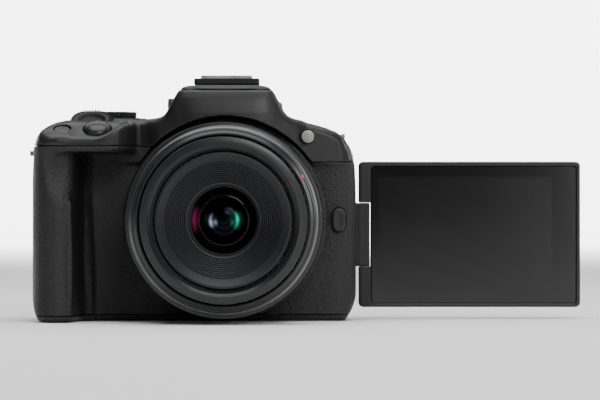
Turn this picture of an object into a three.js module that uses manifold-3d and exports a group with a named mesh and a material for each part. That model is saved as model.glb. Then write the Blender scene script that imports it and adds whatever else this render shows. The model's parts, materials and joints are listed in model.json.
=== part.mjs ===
// Compact mirrorless camera: hinged screen swung out beside the body, pop-up flash in the
// viewfinder hump and a retracting zoom lens. Millimetres, +Z up, the lens faces -Y.
// The origin lies on the base, below the lens axis, in the plane of the image sensor.

import * as THREE from 'three';
import { mergeVertices } from 'three/addons/utils/BufferGeometryUtils.js';
import Module from 'manifold-3d';

const wasm = await Module();
wasm.setup();

// ---------------------------------------------------------------- driving dimensions

const GAP = 0.3;              // clearance between neighbouring pieces
const WALL = 2;               // moulded cover thickness
const FAR = 200;              // reach of a cutting block past the camera

// Body casing
const LEFT = -69.1;           // grip side
const RIGHT = 47.1;           // screen hinge side
const FRONT = -17;            // front face beside the lens
const REAR = 18;              // rear face
const GRIP_FRONT = -40;
const SHOULDER_Z = 71.8;
const BASE = 2.2;             // bottom plate thickness
const GRIP_SEAM_Z = 62.8;     // top cover joint on the grip side
const SIDE_SEAM_Z = 57.3;     // top cover joint beside the lens
const SEAM_STEP_X = -20;
const COVER_SPLIT_Y = -2;     // front cover meets rear cover
const HEAD_BOTTOM_Z = 60.5;   // underside of the grip head, above the finger recess
const HEAD_RIGHT = -33;
const DECK_SLOPE = THREE.MathUtils.degToRad(28);
const DECK_FRONT_Z = 65.4;

// Viewfinder hump and flash
const HUMP_TOP_Z = 85.3;
const LID_Z = 83.4;           // flash lid underside
const LID_REAR = -4.3;
const FLASH_PIVOT = { y: -5.3, z: 84.35, room: 1.8 };
const EYEPIECE_Z = 71.2;
const HUMP_REAR = 22;         // the eyepiece stands proud of the rear face

// Lens, measured from its axis and along Y
const LENS_Z = 36.3;
const FLANGE_Y = -20;         // lens mount plane
const LENS_FRONT_Y = -64.3;
const LENS_RADIUS = 34.4;
const SURROUND_RADIUS = 36.5;
const ARCH_RADIUS = 37.2;
const THROAT_RADIUS = 27;     // mount opening
const LENS_SIDES = 36;

// Screen and its hinge
const HINGE_X = 44.1;
const HINGE_Y = 14.5;
const HINGE_RADIUS = 3.2;
const TILT_Z = 30.8;
const PANEL_X = [48.1, 130.3];
const PANEL_Z = [3.8, 57.9];
const PANEL_Y = [11, 18];
const ARM_Z = [18.7, 42.8];
const ARM_RIGHT = 52.8;
const RECESS_FLOOR_Y = 10.6;

// ---------------------------------------------------------------- shape helpers

const vec = (x, y) => new THREE.Vector2(x, y);

// Turns a closed geometry into a solid with its faces pointing out.
function toSolid(geometry) {
  geometry.deleteAttribute('normal');
  geometry.deleteAttribute('uv');
  const merged = mergeVertices(geometry, 1e-4);
  const points = merged.attributes.position.array;
  const corner = (i) => new THREE.Vector3(...points.slice(3 * i, 3 * i + 3));
  const triangles = [];
  let volume = 0;
  for (let i = 0; i < merged.index.count; i += 3) {
    const [a, b, c] = merged.index.array.slice(i, i + 3);
    if (a === b || b === c || c === a) continue;
    triangles.push([a, b, c]);
    volume += corner(a).dot(corner(b).cross(corner(c)));
  }
  if (volume < 0) triangles.forEach((triangle) => triangle.reverse());
  const mesh = new wasm.Mesh({
    numProp: 3,
    vertProperties: new Float32Array(points),
    triVerts: new Uint32Array(triangles.flat()),
  });
  return new wasm.Manifold(mesh);
}

function toGeometry(solid) {
  const mesh = solid.getMesh();
  const geometry = new THREE.BufferGeometry();
  geometry.setAttribute('position', new THREE.BufferAttribute(new Float32Array(mesh.vertProperties), 3));
  geometry.setIndex(new THREE.BufferAttribute(new Uint32Array(mesh.triVerts), 1));
  geometry.computeVertexNormals();
  return geometry;
}

function box([x0, x1], [y0, y1], [z0, z1]) {
  const geometry = new THREE.BoxGeometry(x1 - x0, y1 - y0, z1 - z0);
  return toSolid(geometry.translate((x0 + x1) / 2, (y0 + y1) / 2, (z0 + z1) / 2));
}

function extrude(points, depth) {
  return new THREE.ExtrudeGeometry(new THREE.Shape(points), { depth, bevelEnabled: false, steps: 1 });
}

// Prisms whose outline lies across the named axis: (y, z), (x, z) and (x, y).
function prismX(points, [x0, x1]) {
  const turn = new THREE.Matrix4().set(0, 0, 1, x0, 1, 0, 0, 0, 0, 1, 0, 0, 0, 0, 0, 1);
  return toSolid(extrude(points, x1 - x0).applyMatrix4(turn));
}

function prismY(points, [y0, y1]) {
  return toSolid(extrude(points, y1 - y0).rotateX(Math.PI / 2).translate(0, y1, 0));
}

function prismZ(points, [z0, z1]) {
  return toSolid(extrude(points, z1 - z0).translate(0, 0, z0));
}

function rodX(radius, [x0, x1], y, z, sides = 20) {
  const geometry = new THREE.CylinderGeometry(radius, radius, x1 - x0, sides);
  return toSolid(geometry.rotateZ(Math.PI / 2).translate((x0 + x1) / 2, y, z));
}

function rodY(radius, [y0, y1], x, z, sides = 20) {
  return toSolid(new THREE.CylinderGeometry(radius, radius, y1 - y0, sides).translate(x, (y0 + y1) / 2, z));
}

function rodZ(radius, [z0, z1], x, y, sides = 20) {
  const geometry = new THREE.CylinderGeometry(radius, radius, z1 - z0, sides);
  return toSolid(geometry.rotateX(Math.PI / 2).translate(x, y, (z0 + z1) / 2));
}

// A ring or disc turned about the lens axis from (radius, y) points.
function turned(profile, sides = LENS_SIDES) {
  const points = profile.map(([radius, y]) => vec(radius, y));
  if (profile.every(([radius]) => radius > 0)) points.push(points[0].clone());
  return toSolid(new THREE.LatheGeometry(points, sides).translate(0, 0, LENS_Z));
}

function ring(inner, outer, [y0, y1], sides) {
  return turned([[inner, y0], [outer, y0], [outer, y1], [inner, y1]], sides);
}

function roundedRectangle([x0, x1], [y0, y1], radius) {
  const shape = new THREE.Shape();
  shape.absarc(x1 - radius, y0 + radius, radius, -Math.PI / 2, 0);
  shape.absarc(x1 - radius, y1 - radius, radius, 0, Math.PI / 2);
  shape.absarc(x0 + radius, y1 - radius, radius, Math.PI / 2, Math.PI);
  shape.absarc(x0 + radius, y0 + radius, radius, Math.PI, 1.5 * Math.PI);
  return openLoop(shape, 4);
}

// The points of a closed curve, without repeats.
function openLoop(shape, divisions) {
  const points = shape.getPoints(divisions);
  return points.filter((point, i) => point.distanceTo(points.at(i - 1)) > 0.01);
}

// Moves every side of a loop inwards.
function inset(points, distance) {
  const inward = Math.sign(THREE.ShapeUtils.area(points));
  return points.map((point, i) => {
    const before = point.clone().sub(points.at(i - 1)).normalize();
    const after = points[(i + 1) % points.length].clone().sub(point).normalize();
    const normal = vec(-before.y, before.x).multiplyScalar(inward);
    const bisector = vec(-before.y - after.y, before.x + after.x).multiplyScalar(inward).normalize();
    return point.clone().addScaledVector(bisector, distance / Math.max(0.4, bisector.dot(normal)));
  });
}

const join = (first, ...rest) => rest.reduce((solid, other) => solid.add(other), first);
const cut = (first, ...rest) => rest.reduce((solid, other) => solid.subtract(other), first);

// ---------------------------------------------------------------- materials and nodes

const finish = (color, roughness, metalness = 0) => (
  new THREE.MeshStandardMaterial({ color, roughness, metalness })
);
const satinBlack = finish(0x232427, 0.45);
const texturedBlack = finish(0x1b1b1d, 0.8);
const matteBlack = finish(0x141415, 0.7);
const glossBlack = finish(0x0c0c0e, 0.2);
const rubberBlack = finish(0x161617, 0.9);
const anodisedBlack = finish(0x2a2c2f, 0.35, 0.6);
const steel = finish(0xb9bbbe, 0.25, 1);
const lightPlastic = finish(0x3a3b3e, 0.5);
const board = finish(0x1d4a34, 0.6);
const glass = finish(0x1a2430, 0.05);
const lampWhite = finish(0xb9b7b4, 0.4);

const group = new THREE.Group();

function add(name, solid, material) {
  const mesh = new THREE.Mesh(toGeometry(solid), material);
  mesh.name = name;
  group.add(mesh);
}

// ---------------------------------------------------------------- body outlines

// Front view (x, z) of the body without the hump.
function bodyOutline() {
  const shape = new THREE.Shape();
  shape.moveTo(LEFT + 4.5, 0);
  shape.lineTo(RIGHT - 4, 0);
  shape.lineTo(RIGHT, 6.6);
  shape.lineTo(RIGHT, 55);
  shape.bezierCurveTo(RIGHT, 65, 41, 68, 26, 71.4);
  shape.lineTo(20, SHOULDER_Z);
  shape.lineTo(-54, SHOULDER_Z);
  shape.bezierCurveTo(-61, 71.4, -67.5, 68.5, LEFT, 60);
  shape.lineTo(LEFT, 4.5);
  shape.quadraticCurveTo(LEFT, 0, LEFT + 4.5, 0);
  return openLoop(shape, 5);
}

// Front view of the hump, standing on the body.
function humpOutline() {
  const shape = new THREE.Shape();
  shape.moveTo(-27, 58);
  shape.lineTo(27, 58);
  shape.lineTo(27, SHOULDER_Z - 0.6);
  shape.bezierCurveTo(21, SHOULDER_Z + 1.4, 21, 76, 18.6, 80);
  shape.bezierCurveTo(17, 83.6, 15, HUMP_TOP_Z, 11.5, HUMP_TOP_Z);
  shape.lineTo(-11.5, HUMP_TOP_Z);
  shape.bezierCurveTo(-15, HUMP_TOP_Z, -17, 83.6, -18.6, 80);
  shape.bezierCurveTo(-21, 76, -21, SHOULDER_Z + 1.4, -27, SHOULDER_Z - 0.6);
  return openLoop(shape, 4);
}

// Plan view (x, y) of the body below the grip head: the grip bulges to the front.
function gripPlan() {
  const shape = new THREE.Shape();
  shape.moveTo(LEFT + 5, REAR);
  shape.quadraticCurveTo(LEFT, REAR, LEFT, REAR - 5);
  shape.lineTo(LEFT, -24);
  shape.bezierCurveTo(LEFT, -34, -66, GRIP_FRONT, -60, GRIP_FRONT);
  shape.bezierCurveTo(-55.6, GRIP_FRONT, -53.8, -37.5, -53.2, -31);
  shape.bezierCurveTo(-52.6, -23, -52, FRONT, -45, FRONT);
  shape.lineTo(RIGHT - 9, FRONT);
  shape.quadraticCurveTo(RIGHT, FRONT, RIGHT, FRONT + 9);
  shape.lineTo(RIGHT, REAR - 4.5);
  shape.quadraticCurveTo(RIGHT, REAR, RIGHT - 4.5, REAR);
  return openLoop(shape, 4);
}

// Plan view of the grip head, which carries the shutter button.
function headPlan() {
  const shape = new THREE.Shape();
  shape.moveTo(HEAD_RIGHT, REAR - 6);
  shape.lineTo(LEFT, REAR - 6);
  shape.lineTo(LEFT, -24);
  shape.bezierCurveTo(LEFT, -34, -64, GRIP_FRONT, -56, GRIP_FRONT);
  shape.lineTo(-42, GRIP_FRONT);
  shape.quadraticCurveTo(HEAD_RIGHT, GRIP_FRONT, HEAD_RIGHT, GRIP_FRONT + 11);
  return openLoop(shape, 4);
}

// Side view (y, z) that slopes the hump's front face and rounds its back.
const humpSide = [
  vec(-26.5, 50), vec(HUMP_REAR, 50), vec(HUMP_REAR, 80.5), vec(17, 83.6), vec(-2, HUMP_TOP_Z),
  vec(-22.5, HUMP_TOP_Z), vec(-26.5, 76),
];

const deckDrop = (run) => run * Math.tan(DECK_SLOPE);

// Everything above the sloped deck of the grip head, whose front edge rises towards the lens.
const deckSlope = prismX([
  vec(GRIP_FRONT - 5, DECK_FRONT_Z - deckDrop(5)), vec(-20, DECK_FRONT_Z + deckDrop(-20 - GRIP_FRONT)),
  vec(-20, FAR), vec(GRIP_FRONT - 5, FAR),
], [LEFT - 5, HEAD_RIGHT + GAP]);
const deckRise = prismY([vec(-60, 60.7), vec(-30, 73.3), vec(-30, 50), vec(-60, 50)], [GRIP_FRONT - 6, -19]);
const deckCut = deckSlope.subtract(deckRise);

// ---------------------------------------------------------------- casing envelope

const front = prismY(bodyOutline(), [GRIP_FRONT - 1, REAR + 1]);
const lowerBlock = prismZ(gripPlan(), [-1, SHOULDER_Z + 1]).intersect(front);
const headBlock = prismZ(headPlan(), [HEAD_BOTTOM_Z, SHOULDER_Z + 1]).intersect(front);
const humpBlock = prismY(humpOutline(), [-27, HUMP_REAR])
  .intersect(prismX(humpSide, [-30, 30]));
const browBlock = prismY(bodyOutline(), [-21.5, FRONT + 1])
  .intersect(box([-34, 36], [-30, 0], [SIDE_SEAM_Z, FAR]));
const surround = rodY(SURROUND_RADIUS, [-19.2, FRONT + 1], 0, LENS_Z, LENS_SIDES)
  .intersect(box([-60, 60], [-30, 0], [BASE + GAP, FAR]));
const arch = rodY(ARCH_RADIUS, [-30, FRONT], 0, LENS_Z, LENS_SIDES);

const envelope = cut(join(lowerBlock, headBlock, humpBlock, browBlock), deckCut, arch).add(surround);

// The room inside the covers, open to the bottom plate.
const bodyRoom = prismY(inset(bodyOutline(), WALL), [FRONT + WALL, RECESS_FLOOR_Y - WALL])
  .intersect(prismZ(inset(gripPlan(), WALL), [BASE, SHOULDER_Z]));
const gripRoom = prismZ(inset(gripPlan(), WALL), [BASE, HEAD_BOTTOM_Z - WALL])
  .intersect(box([LEFT, -45], [GRIP_FRONT, 14], [0, FAR]));
const humpRoom = prismY(inset(humpOutline(), WALL), [-21, 14])
  .intersect(box([-30, 30], [-30, 30], [64, FAR]))
  .subtract(rodY(ARCH_RADIUS + WALL, [-30, FRONT + 2 * WALL], 0, LENS_Z, LENS_SIDES));
const eyepieceTunnel = box([-10, 10], [8, 30], [EYEPIECE_Z - 6.5, EYEPIECE_Z + 6.5]);
const room = join(bodyRoom, gripRoom, humpRoom);
const shell = envelope.subtract(room);

// Space above the joint between the top cover and the covers below it: the joint steps down
// beside the lens and arches over the lens surround.
function aboveSeam(lowered) {
  return cut(
    join(
      box([LEFT - 5, RIGHT + 5], [-60, 60], [GRIP_SEAM_Z - lowered, FAR]),
      box([SEAM_STEP_X - lowered, RIGHT + 5], [-60, COVER_SPLIT_Y + lowered], [SIDE_SEAM_Z - lowered, FAR]),
    ),
    rodY(ARCH_RADIUS - lowered, [-60, FRONT + WALL + GAP - lowered], 0, LENS_Z, LENS_SIDES),
  );
}

// ---------------------------------------------------------------- controls, used by the cuts

// Round buttons on the rear face, pressed straight in.
const rearButtons = [
  { name: 'ae_lock_button', radius: 2.6, x: -48.5, z: 56 },
  { name: 'af_point_button', radius: 2.6, x: -59.5, z: 56 },
  { name: 'info_button', radius: 2.5, x: -49.5, z: 47.5 },
  { name: 'playback_button', radius: 2.5, x: -50.5, z: 22 },
  { name: 'menu_button', radius: 2.5, x: -61.5, z: 22 },
];
const PAD = { x: -56, z: 35, radius: 8.6, setRadius: 3.4 };
const BUTTON_DEPTH = 3;

// Buttons on the sloped deck, placed by how far they lie behind the grip's front edge.
const deckButtons = [
  { name: 'shutter_button', radius: 4.9, x: -45.5, behind: 6.6, height: 1.6 },
  { name: 'record_button', radius: 2.9, x: -58, behind: 6, height: 0.5 },
];

// Places an upright cylinder on the sloped deck, between two heights above its surface.
function deckRod(radius, [low, high], x, behind) {
  const geometry = new THREE.CylinderGeometry(radius, radius, high - low, 24);
  geometry.rotateX(Math.PI / 2).translate(0, 0, (low + high) / 2).rotateX(DECK_SLOPE);
  return toSolid(geometry.translate(x, GRIP_FRONT + behind, DECK_FRONT_Z + deckDrop(behind)));
}

const MAIN_DIAL = { x: -48.5, y: -15, z: 71, radius: 7.5, height: 5, tilt: DECK_SLOPE };
const MODE_DIAL = { x: -41.9, y: 5, radius: 8.8, low: 73.7, high: 75.8 };
const SWITCH = { radius: 10, low: SHOULDER_Z + GAP, high: 73.4 };

function dialRod(radius, height, sides = 32) {
  const geometry = new THREE.CylinderGeometry(radius, radius, height, sides);
  geometry.rotateX(Math.PI / 2 + MAIN_DIAL.tilt).translate(MAIN_DIAL.x, MAIN_DIAL.y, MAIN_DIAL.z);
  return toSolid(geometry);
}

const RELEASE = { x: [37.4, 44.2], z: [31.2, 41.4] };
const LOCK_PIN = { x: 30, radius: 1.2 };
const LAMP = { x: 29.6, z: 66.3, radius: 2.3 };

// ---------------------------------------------------------------- covers

const lensOpening = rodY(33 + GAP, [-30, FRONT + 6], 0, LENS_Z, LENS_SIDES);
const releasePocket = prismY(
  roundedRectangle([RELEASE.x[0] - GAP, RELEASE.x[1] + GAP], [RELEASE.z[0] - GAP, RELEASE.z[1] + GAP], 3.6),
  [-25, FRONT + 5],
);
const lowerBody = shell.subtract(aboveSeam(GAP)).intersect(box([-80, 80], [-60, 60], [BASE + GAP, FAR]));
const GRIP_SKIN = 1;
const gripZone = box([-FAR, -46], [-60, -20], [8, HEAD_BOTTOM_Z - GAP]);
const gripCore = prismZ(inset(gripPlan(), GRIP_SKIN + GAP), [-1, FAR]);
const gripSkinRoom = gripZone.subtract(gripCore);
const PORT = { y: [-12, 4], z: [20, 42] };
const portPocket = join(
  box([LEFT - 5, LEFT + 1.5], PORT.y, PORT.z),
  box([LEFT - 5, LEFT + 5], [-9 - GAP, 1 + GAP], [24 - GAP, 38 + GAP]),
);

add('front_cover', cut(
  lowerBody.intersect(box([-80, 80], [-60, COVER_SPLIT_Y - GAP / 2], [0, FAR])),
  lensOpening, releasePocket, gripSkinRoom, portPocket,
), texturedBlack);

add('grip_skin', prismZ(gripPlan(), [-1, FAR])
  .intersect(front)
  .subtract(prismZ(inset(gripPlan(), GRIP_SKIN), [-2, FAR]))
  .intersect(box([-FAR, -46 - GAP], [-60, -20 - GAP], [8 + GAP, HEAD_BOTTOM_Z - 2 * GAP])), rubberBlack);

const RECESS_Z = [PANEL_Z[0] - 0.5, PANEL_Z[1] + 0.5];
const SWING_CLEARANCE = 5.7;  // reach of the screen's inner edge from its hinge axis
const screenRecess = join(
  prismY(roundedRectangle([-42.6, 40.6], RECESS_Z, 2), [RECESS_FLOOR_Y, REAR + 5]),
  rodZ(SWING_CLEARANCE, [RECESS_Z[0] - 0.4, RECESS_Z[1] + 0.4], HINGE_X, HINGE_Y, 32).intersect(
    box([30, HINGE_X], [HINGE_Y, REAR + 5], [0, FAR]),
  ),
);
const hingeRecess = join(
  rodZ(HINGE_RADIUS + 0.5, [ARM_Z[0] - GAP, ARM_Z[1] + GAP], HINGE_X, HINGE_Y),
  box([HINGE_X, RIGHT + 5], [HINGE_Y - HINGE_RADIUS - 0.5, REAR + 5], [ARM_Z[0] - GAP, ARM_Z[1] + GAP]),
  box([30, HINGE_X + 0.1], [RECESS_FLOOR_Y, REAR + 5], [ARM_Z[0] - GAP, ARM_Z[1] + GAP]),
);
const rearPockets = rearButtons.map(({ radius, x, z }) => (
  rodY(radius + GAP, [REAR - BUTTON_DEPTH, REAR + 5], x, z)
));
const padPocket = rodY(PAD.radius + GAP, [REAR - BUTTON_DEPTH, REAR + 5], PAD.x, PAD.z);

add('rear_cover', cut(
  lowerBody.intersect(box([-80, 80], [COVER_SPLIT_Y + GAP / 2, REAR], [0, FAR])),
  screenRecess, hingeRecess, portPocket, padPocket, ...rearPockets,
), texturedBlack);

const lidRoom = box([-40, 40], [-60, LID_REAR + 0.6], [LID_Z - GAP, FAR]);
const dialPocket = dialRod(MAIN_DIAL.radius + 0.5, MAIN_DIAL.height + 1);
const dioptrePocket = box([-24, -14], [11, 30], [74, 82]);
const deckPockets = deckButtons.map(({ radius, x, behind }) => deckRod(radius + GAP, [-4.5, 9], x, behind));

add('top_cover', cut(
  shell.intersect(aboveSeam(0)),
  lidRoom, rodX(FLASH_PIVOT.room, [-30, 30], FLASH_PIVOT.y, FLASH_PIVOT.z), eyepieceTunnel,
  dialPocket, dioptrePocket, ...deckPockets,
  rodY(LAMP.radius + GAP, [-40, -18], LAMP.x, LAMP.z), box([41.5, 43.5], [-3.8, 3.8], [62.5, FAR]),
), satinBlack);

const DOOR = { x: [-66, -42], y: [-38, 13] };
const DOOR_RIM = 2.2;
const doorOpening = prismZ(inset(gripPlan(), DOOR_RIM), [-5, BASE + 5])
  .intersect(box(DOOR.x, DOOR.y, [-9, 9]));
const SOCKET = { y: -9, radius: 5.5, bore: 3.2, top: 8 };
const socketHole = rodZ(SOCKET.radius + GAP, [-5, 20], 0, SOCKET.y);

add('bottom_plate', cut(
  envelope.intersect(box([-80, 80], [-60, 60], [0, BASE])), doorOpening, socketHole,
), texturedBlack);

// ---------------------------------------------------------------- inside the body

add('mount_ring', turned([
  [THROAT_RADIUS, FLANGE_Y], [33, FLANGE_Y], [33, -17.4], [30.5, -17.4],
  [30.5, -14.5], [THROAT_RADIUS, -14.5],
]).subtract(rodY(LOCK_PIN.radius + GAP, [-30, 0], LOCK_PIN.x, LENS_Z, 12)), steel);

add('chassis', cut(
  box([-40, 41], [-13, -8.5], [9, 62]),
  rodY(24, [-20, 0], 0, LENS_Z, 32),
  rodY(LOCK_PIN.radius + GAP, [-20, 0], LOCK_PIN.x, LENS_Z, 12),
  box([34.5, 42], [-20, -5], [28, 45]),
), anodisedBlack);

const GATE = { width: 24, height: 17 };
add('shutter_frame', cut(
  box([-22, 22], [-7, -2.5], [8, 50]),
  box([-GATE.width / 2, GATE.width / 2], [-10, 0], [LENS_Z - GATE.height / 2, LENS_Z + GATE.height / 2]),
  box([-14, 14], [-5.2, -4], [9.5, 60]),
), anodisedBlack);
add('shutter_curtain', box([-13.6, 13.6], [-4.9, -4.3], [LENS_Z + 9, LENS_Z + 27]), matteBlack);

add('sensor', join(
  box([-15, 15], [-0.5, 1.5], [LENS_Z - 11, LENS_Z + 11]),
  box([-11.2, 11.2], [-1.2, -0.4], [LENS_Z - 7.5, LENS_Z + 7.5]),
), glossBlack);
add('main_board', cut(
  box([-42, 40], [4.2, 5.6], [6, 56]), box([-70, -36], [0, 10], [0, 34]),
), board);
add('battery', box([-64.5, -55], [-22, 9.5], [4, 53.4]), matteBlack);
add('memory_card', box([-49.4, -47.3], [-14.5, 9.5], [4, 36]), lightPlastic);

add('viewfinder_housing', cut(
  box([-12.5, 12.5], [-3, 13], [EYEPIECE_Z - 6, EYEPIECE_Z + 8.5]),
  box([-9.3, 9.3], [0, 20], [EYEPIECE_Z - 4, EYEPIECE_Z + 6]),
), matteBlack);

// ---------------------------------------------------------------- fixed pieces outside

const window = (half, height) => roundedRectangle(
  [-half, half], [EYEPIECE_Z - height / 2, EYEPIECE_Z + height / 2], 2,
);
add('eyecup', cut(
  prismY(window(15, 18), [22 + GAP, 27]), prismY(window(9.6, 12), [20, 30]),
), rubberBlack);
add('eyepiece_lens', prismY(window(9.6, 12), [17, 19]), glass);

add('hot_shoe_base', cut(
  box([-12, 12], [-2.6, 15.2], [HUMP_TOP_Z + GAP, 87.9]),
  box([-9.8, 9.8], [-1.4, 20], [86.4, 90]),
), matteBlack);
add('hot_shoe_rails', cut(
  box([-9.4, 9.4], [-1, 14.8], [86.7, 89]),
  box([-8.9, 8.9], [-0.4, 20], [87.2, 88.5]),
  box([-6.2, 6.2], [-0.4, 20], [88, 92]),
), steel);

add('tripod_socket', cut(
  rodZ(SOCKET.radius, [0.1, SOCKET.top], 0, SOCKET.y), rodZ(SOCKET.bore, [-5, SOCKET.top - 1.5], 0, SOCKET.y),
), steel);

add('strap_lug_left', cut(
  box([LEFT - 2.6, LEFT - GAP], [-3.5, 3.5], [59.6, 61.4]),
  box([LEFT - 1.9, LEFT - 0.8], [-2.6, 2.6], [50, 70]),
), steel);
add('strap_lug_right', cut(
  box([41.8, 43.2], [-3.5, 3.5], [62.8, 67.6]), box([40, 45], [-2.6, 2.6], [65.6, 66.8]),
), steel);
add('af_lamp', rodY(LAMP.radius, [-21.9, -18.6], LAMP.x, LAMP.z), lampWhite);
add('data_socket', cut(
  box([LEFT + 1.8, LEFT + 4.2], [-9, 1], [24, 38]), box([LEFT, LEFT + 3.4], [-7.5, -0.5], [26, 36]),
), steel);

// ---------------------------------------------------------------- controls

for (const { name, radius, x, behind, height } of deckButtons) {
  add(name, deckRod(radius, [-2.5, height], x, behind), glossBlack);
}
for (const { name, radius, x, z } of rearButtons) {
  add(name, rodY(radius, [REAR - BUTTON_DEPTH + 1, REAR + 0.6], x, z), satinBlack);
}
const padFront = REAR - BUTTON_DEPTH + 1;
add('control_pad', cut(
  rodY(PAD.radius, [padFront, REAR + 0.8], PAD.x, PAD.z), rodY(PAD.setRadius + GAP, [0, 30], PAD.x, PAD.z),
), satinBlack);
add('set_button', rodY(PAD.setRadius, [padFront, REAR + 0.8], PAD.x, PAD.z), satinBlack);

add('main_dial', dialRod(MAIN_DIAL.radius, MAIN_DIAL.height), satinBlack);
add('mode_dial', rodZ(
  MODE_DIAL.radius, [MODE_DIAL.low, MODE_DIAL.high], MODE_DIAL.x, MODE_DIAL.y, 32,
), satinBlack);
add('power_switch', join(
  rodZ(SWITCH.radius, [SWITCH.low, SWITCH.high], MODE_DIAL.x, MODE_DIAL.y, 32),
  box([MODE_DIAL.x, MODE_DIAL.x + 12.5], [MODE_DIAL.y - 2, MODE_DIAL.y + 2], [SWITCH.low, SWITCH.high]),
), satinBlack);
add('dioptre_dial', rodX(3, [-22, -19.6], 16, 78, 20).subtract(
  rodX(1.4, [-24, -21.6], 16, 78, 10),
), satinBlack);

add('lens_release_button', prismY(roundedRectangle(RELEASE.x, RELEASE.z, 3.3), [-19, -15.8]), satinBlack);
add('lens_lock_pin', rodY(LOCK_PIN.radius, [-21.6, -10], LOCK_PIN.x, LENS_Z, 12), steel);

// ---------------------------------------------------------------- pop-up flash

const flashLid = humpBlock.intersect(box([-40, 40], [-60, LID_REAR], [LID_Z, FAR]));
const flashBlock = cut(
  box([-11, 11], [-18, -8.5], [77, LID_Z + 0.5]), box([-10.2, 10.2], [-20, -16.4], [77.8, 82.4]),
);
add('flash_head', flashLid.add(flashBlock), satinBlack);
add('flash_window', box([-9.9, 9.9], [-18, -16.7], [78.1, 82.1]), lampWhite);

// ---------------------------------------------------------------- doors

add('battery_door', cut(
  prismZ(inset(gripPlan(), DOOR_RIM + GAP), [0.1, 1.9])
    .intersect(box([DOOR.x[0] + GAP, DOOR.x[1] - 2 * GAP], [DOOR.y[0], DOOR.y[1] - GAP], [0, 9])),
  box([-62, -57], [-15, -3], [-1, 1.4]),
), texturedBlack);
add('door_latch', box([-61.7, -57.3], [-14.7, -6], [0.2, 1.1]), matteBlack);
add('port_cover', box(
  [LEFT + 0.1, LEFT + 1.1], [PORT.y[0] + GAP, PORT.y[1] - 2 * GAP], [PORT.z[0] + GAP, PORT.z[1] - GAP],
), rubberBlack);

// ---------------------------------------------------------------- lens

const REAR_CELL = 15;
add('lens_mount_plate', turned([
  [24, -14.2], [26.6, -14.2], [26.6, FLANGE_Y - GAP], [31, FLANGE_Y - GAP], [31, -22.4], [24, -22.4],
]).subtract(rodY(1.6, [-30, -10], LOCK_PIN.x, LENS_Z, 12)), steel);
add('lens_barrel', turned([
  [30, -22.7], [33.4, -22.7], [33.4, -28], [31.5, -28.6], [31.5, -60.4], [30, -60.4],
]), satinBlack);
add('zoom_ring', turned([
  [31.9, -29], [LENS_RADIUS, -29], [LENS_RADIUS, -45], [31.9, -45],
]), texturedBlack);
add('control_ring', turned([
  [31.9, -45.3], [LENS_RADIUS - 0.4, -45.3], [LENS_RADIUS, -52], [LENS_RADIUS, -57], [31.9, -57],
]), texturedBlack);
add('lens_bezel', turned([
  [31.9, -57.3], [LENS_RADIUS, -57.3], [33.2, -59.6], [30.3, -62.4], [30.3, -60.8], [31.9, -60.8],
]), anodisedBlack);
add('front_barrel', turned([
  [26.8, -32], [29.3, -32], [29.3, -62.6], [26.8, -62.6],
]), anodisedBlack);
add('filter_ring', turned([
  [24.5, -58], [26.4, -58], [26.4, -62.9], [29.3, -62.9], [29.3, LENS_FRONT_Y + 0.7],
  [28.6, LENS_FRONT_Y], [26.2, LENS_FRONT_Y], [24.5, -62],
]), anodisedBlack);
add('name_ring', turned([
  [12.4, -52], [13.2, -52], [24.1, -57.5], [24.1, -60.5], [23.4, -60.5], [12.4, -55],
]), matteBlack);
add('front_cell', turned([
  [12.6, -44], [20, -44], [20, -50], [13, -51.6], [11.9, -51.6], [11.9, -50.2], [12.6, -49.4],
]), matteBlack);
add('front_element', turned([
  [0, -45], [12.2, -45], [12.2, -49], [10, -50], [6, -51.3], [0, -51.9],
]), glass);
add('iris', ring(5, 17, [-43.5, -42.5], 32), matteBlack);
add('focus_cell', turned([
  [0, -38.5], [10, -38.5], [10, -36], [0, -36],
], 32), glass);
add('rear_element', turned([
  [0, -22], [REAR_CELL, -22], [REAR_CELL, -19], [0, -17.5],
], 32), glass);
add('rear_cell', ring(REAR_CELL + GAP, 23.6, [-22, -17], 32), matteBlack);

// ---------------------------------------------------------------- screen

add('hinge_arm', join(
  rodZ(HINGE_RADIUS, [ARM_Z[0], ARM_Z[1]], HINGE_X, HINGE_Y),
  box([HINGE_X, ARM_RIGHT - GAP], [HINGE_Y - 3, HINGE_Y + 3], [ARM_Z[0] + GAP, ARM_Z[1] - GAP])
    .intersect(rodX(11.9, [40, 60], HINGE_Y, TILT_Z, 32)),
), satinBlack);

const notch = rodX(12.25, [PANEL_X[0] - 5, ARM_RIGHT], HINGE_Y, TILT_Z, 32);
const glassX = [ARM_RIGHT + GAP, 128.5];
const glassZ = [5.5, 56];
add('screen_housing', cut(
  prismY(roundedRectangle(PANEL_X, PANEL_Z, 2), PANEL_Y),
  notch,
  prismY(roundedRectangle([glassX[0] - GAP, glassX[1] + GAP], [glassZ[0] - GAP, glassZ[1] + GAP], 1.2),
    [PANEL_Y[0] - 1, PANEL_Y[0] + 1.2]),
), satinBlack);
add('screen_glass', prismY(
  roundedRectangle(glassX, glassZ, 1), [PANEL_Y[0] + 0.05, PANEL_Y[0] + 0.9],
), glossBlack);

export default group;
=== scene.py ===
"""Looks of the compact mirrorless camera: smooth moulded covers, a turned lens, controls and materials,
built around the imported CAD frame. Shapes are worked out in millimetres and made in metres."""

import json
import math

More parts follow.
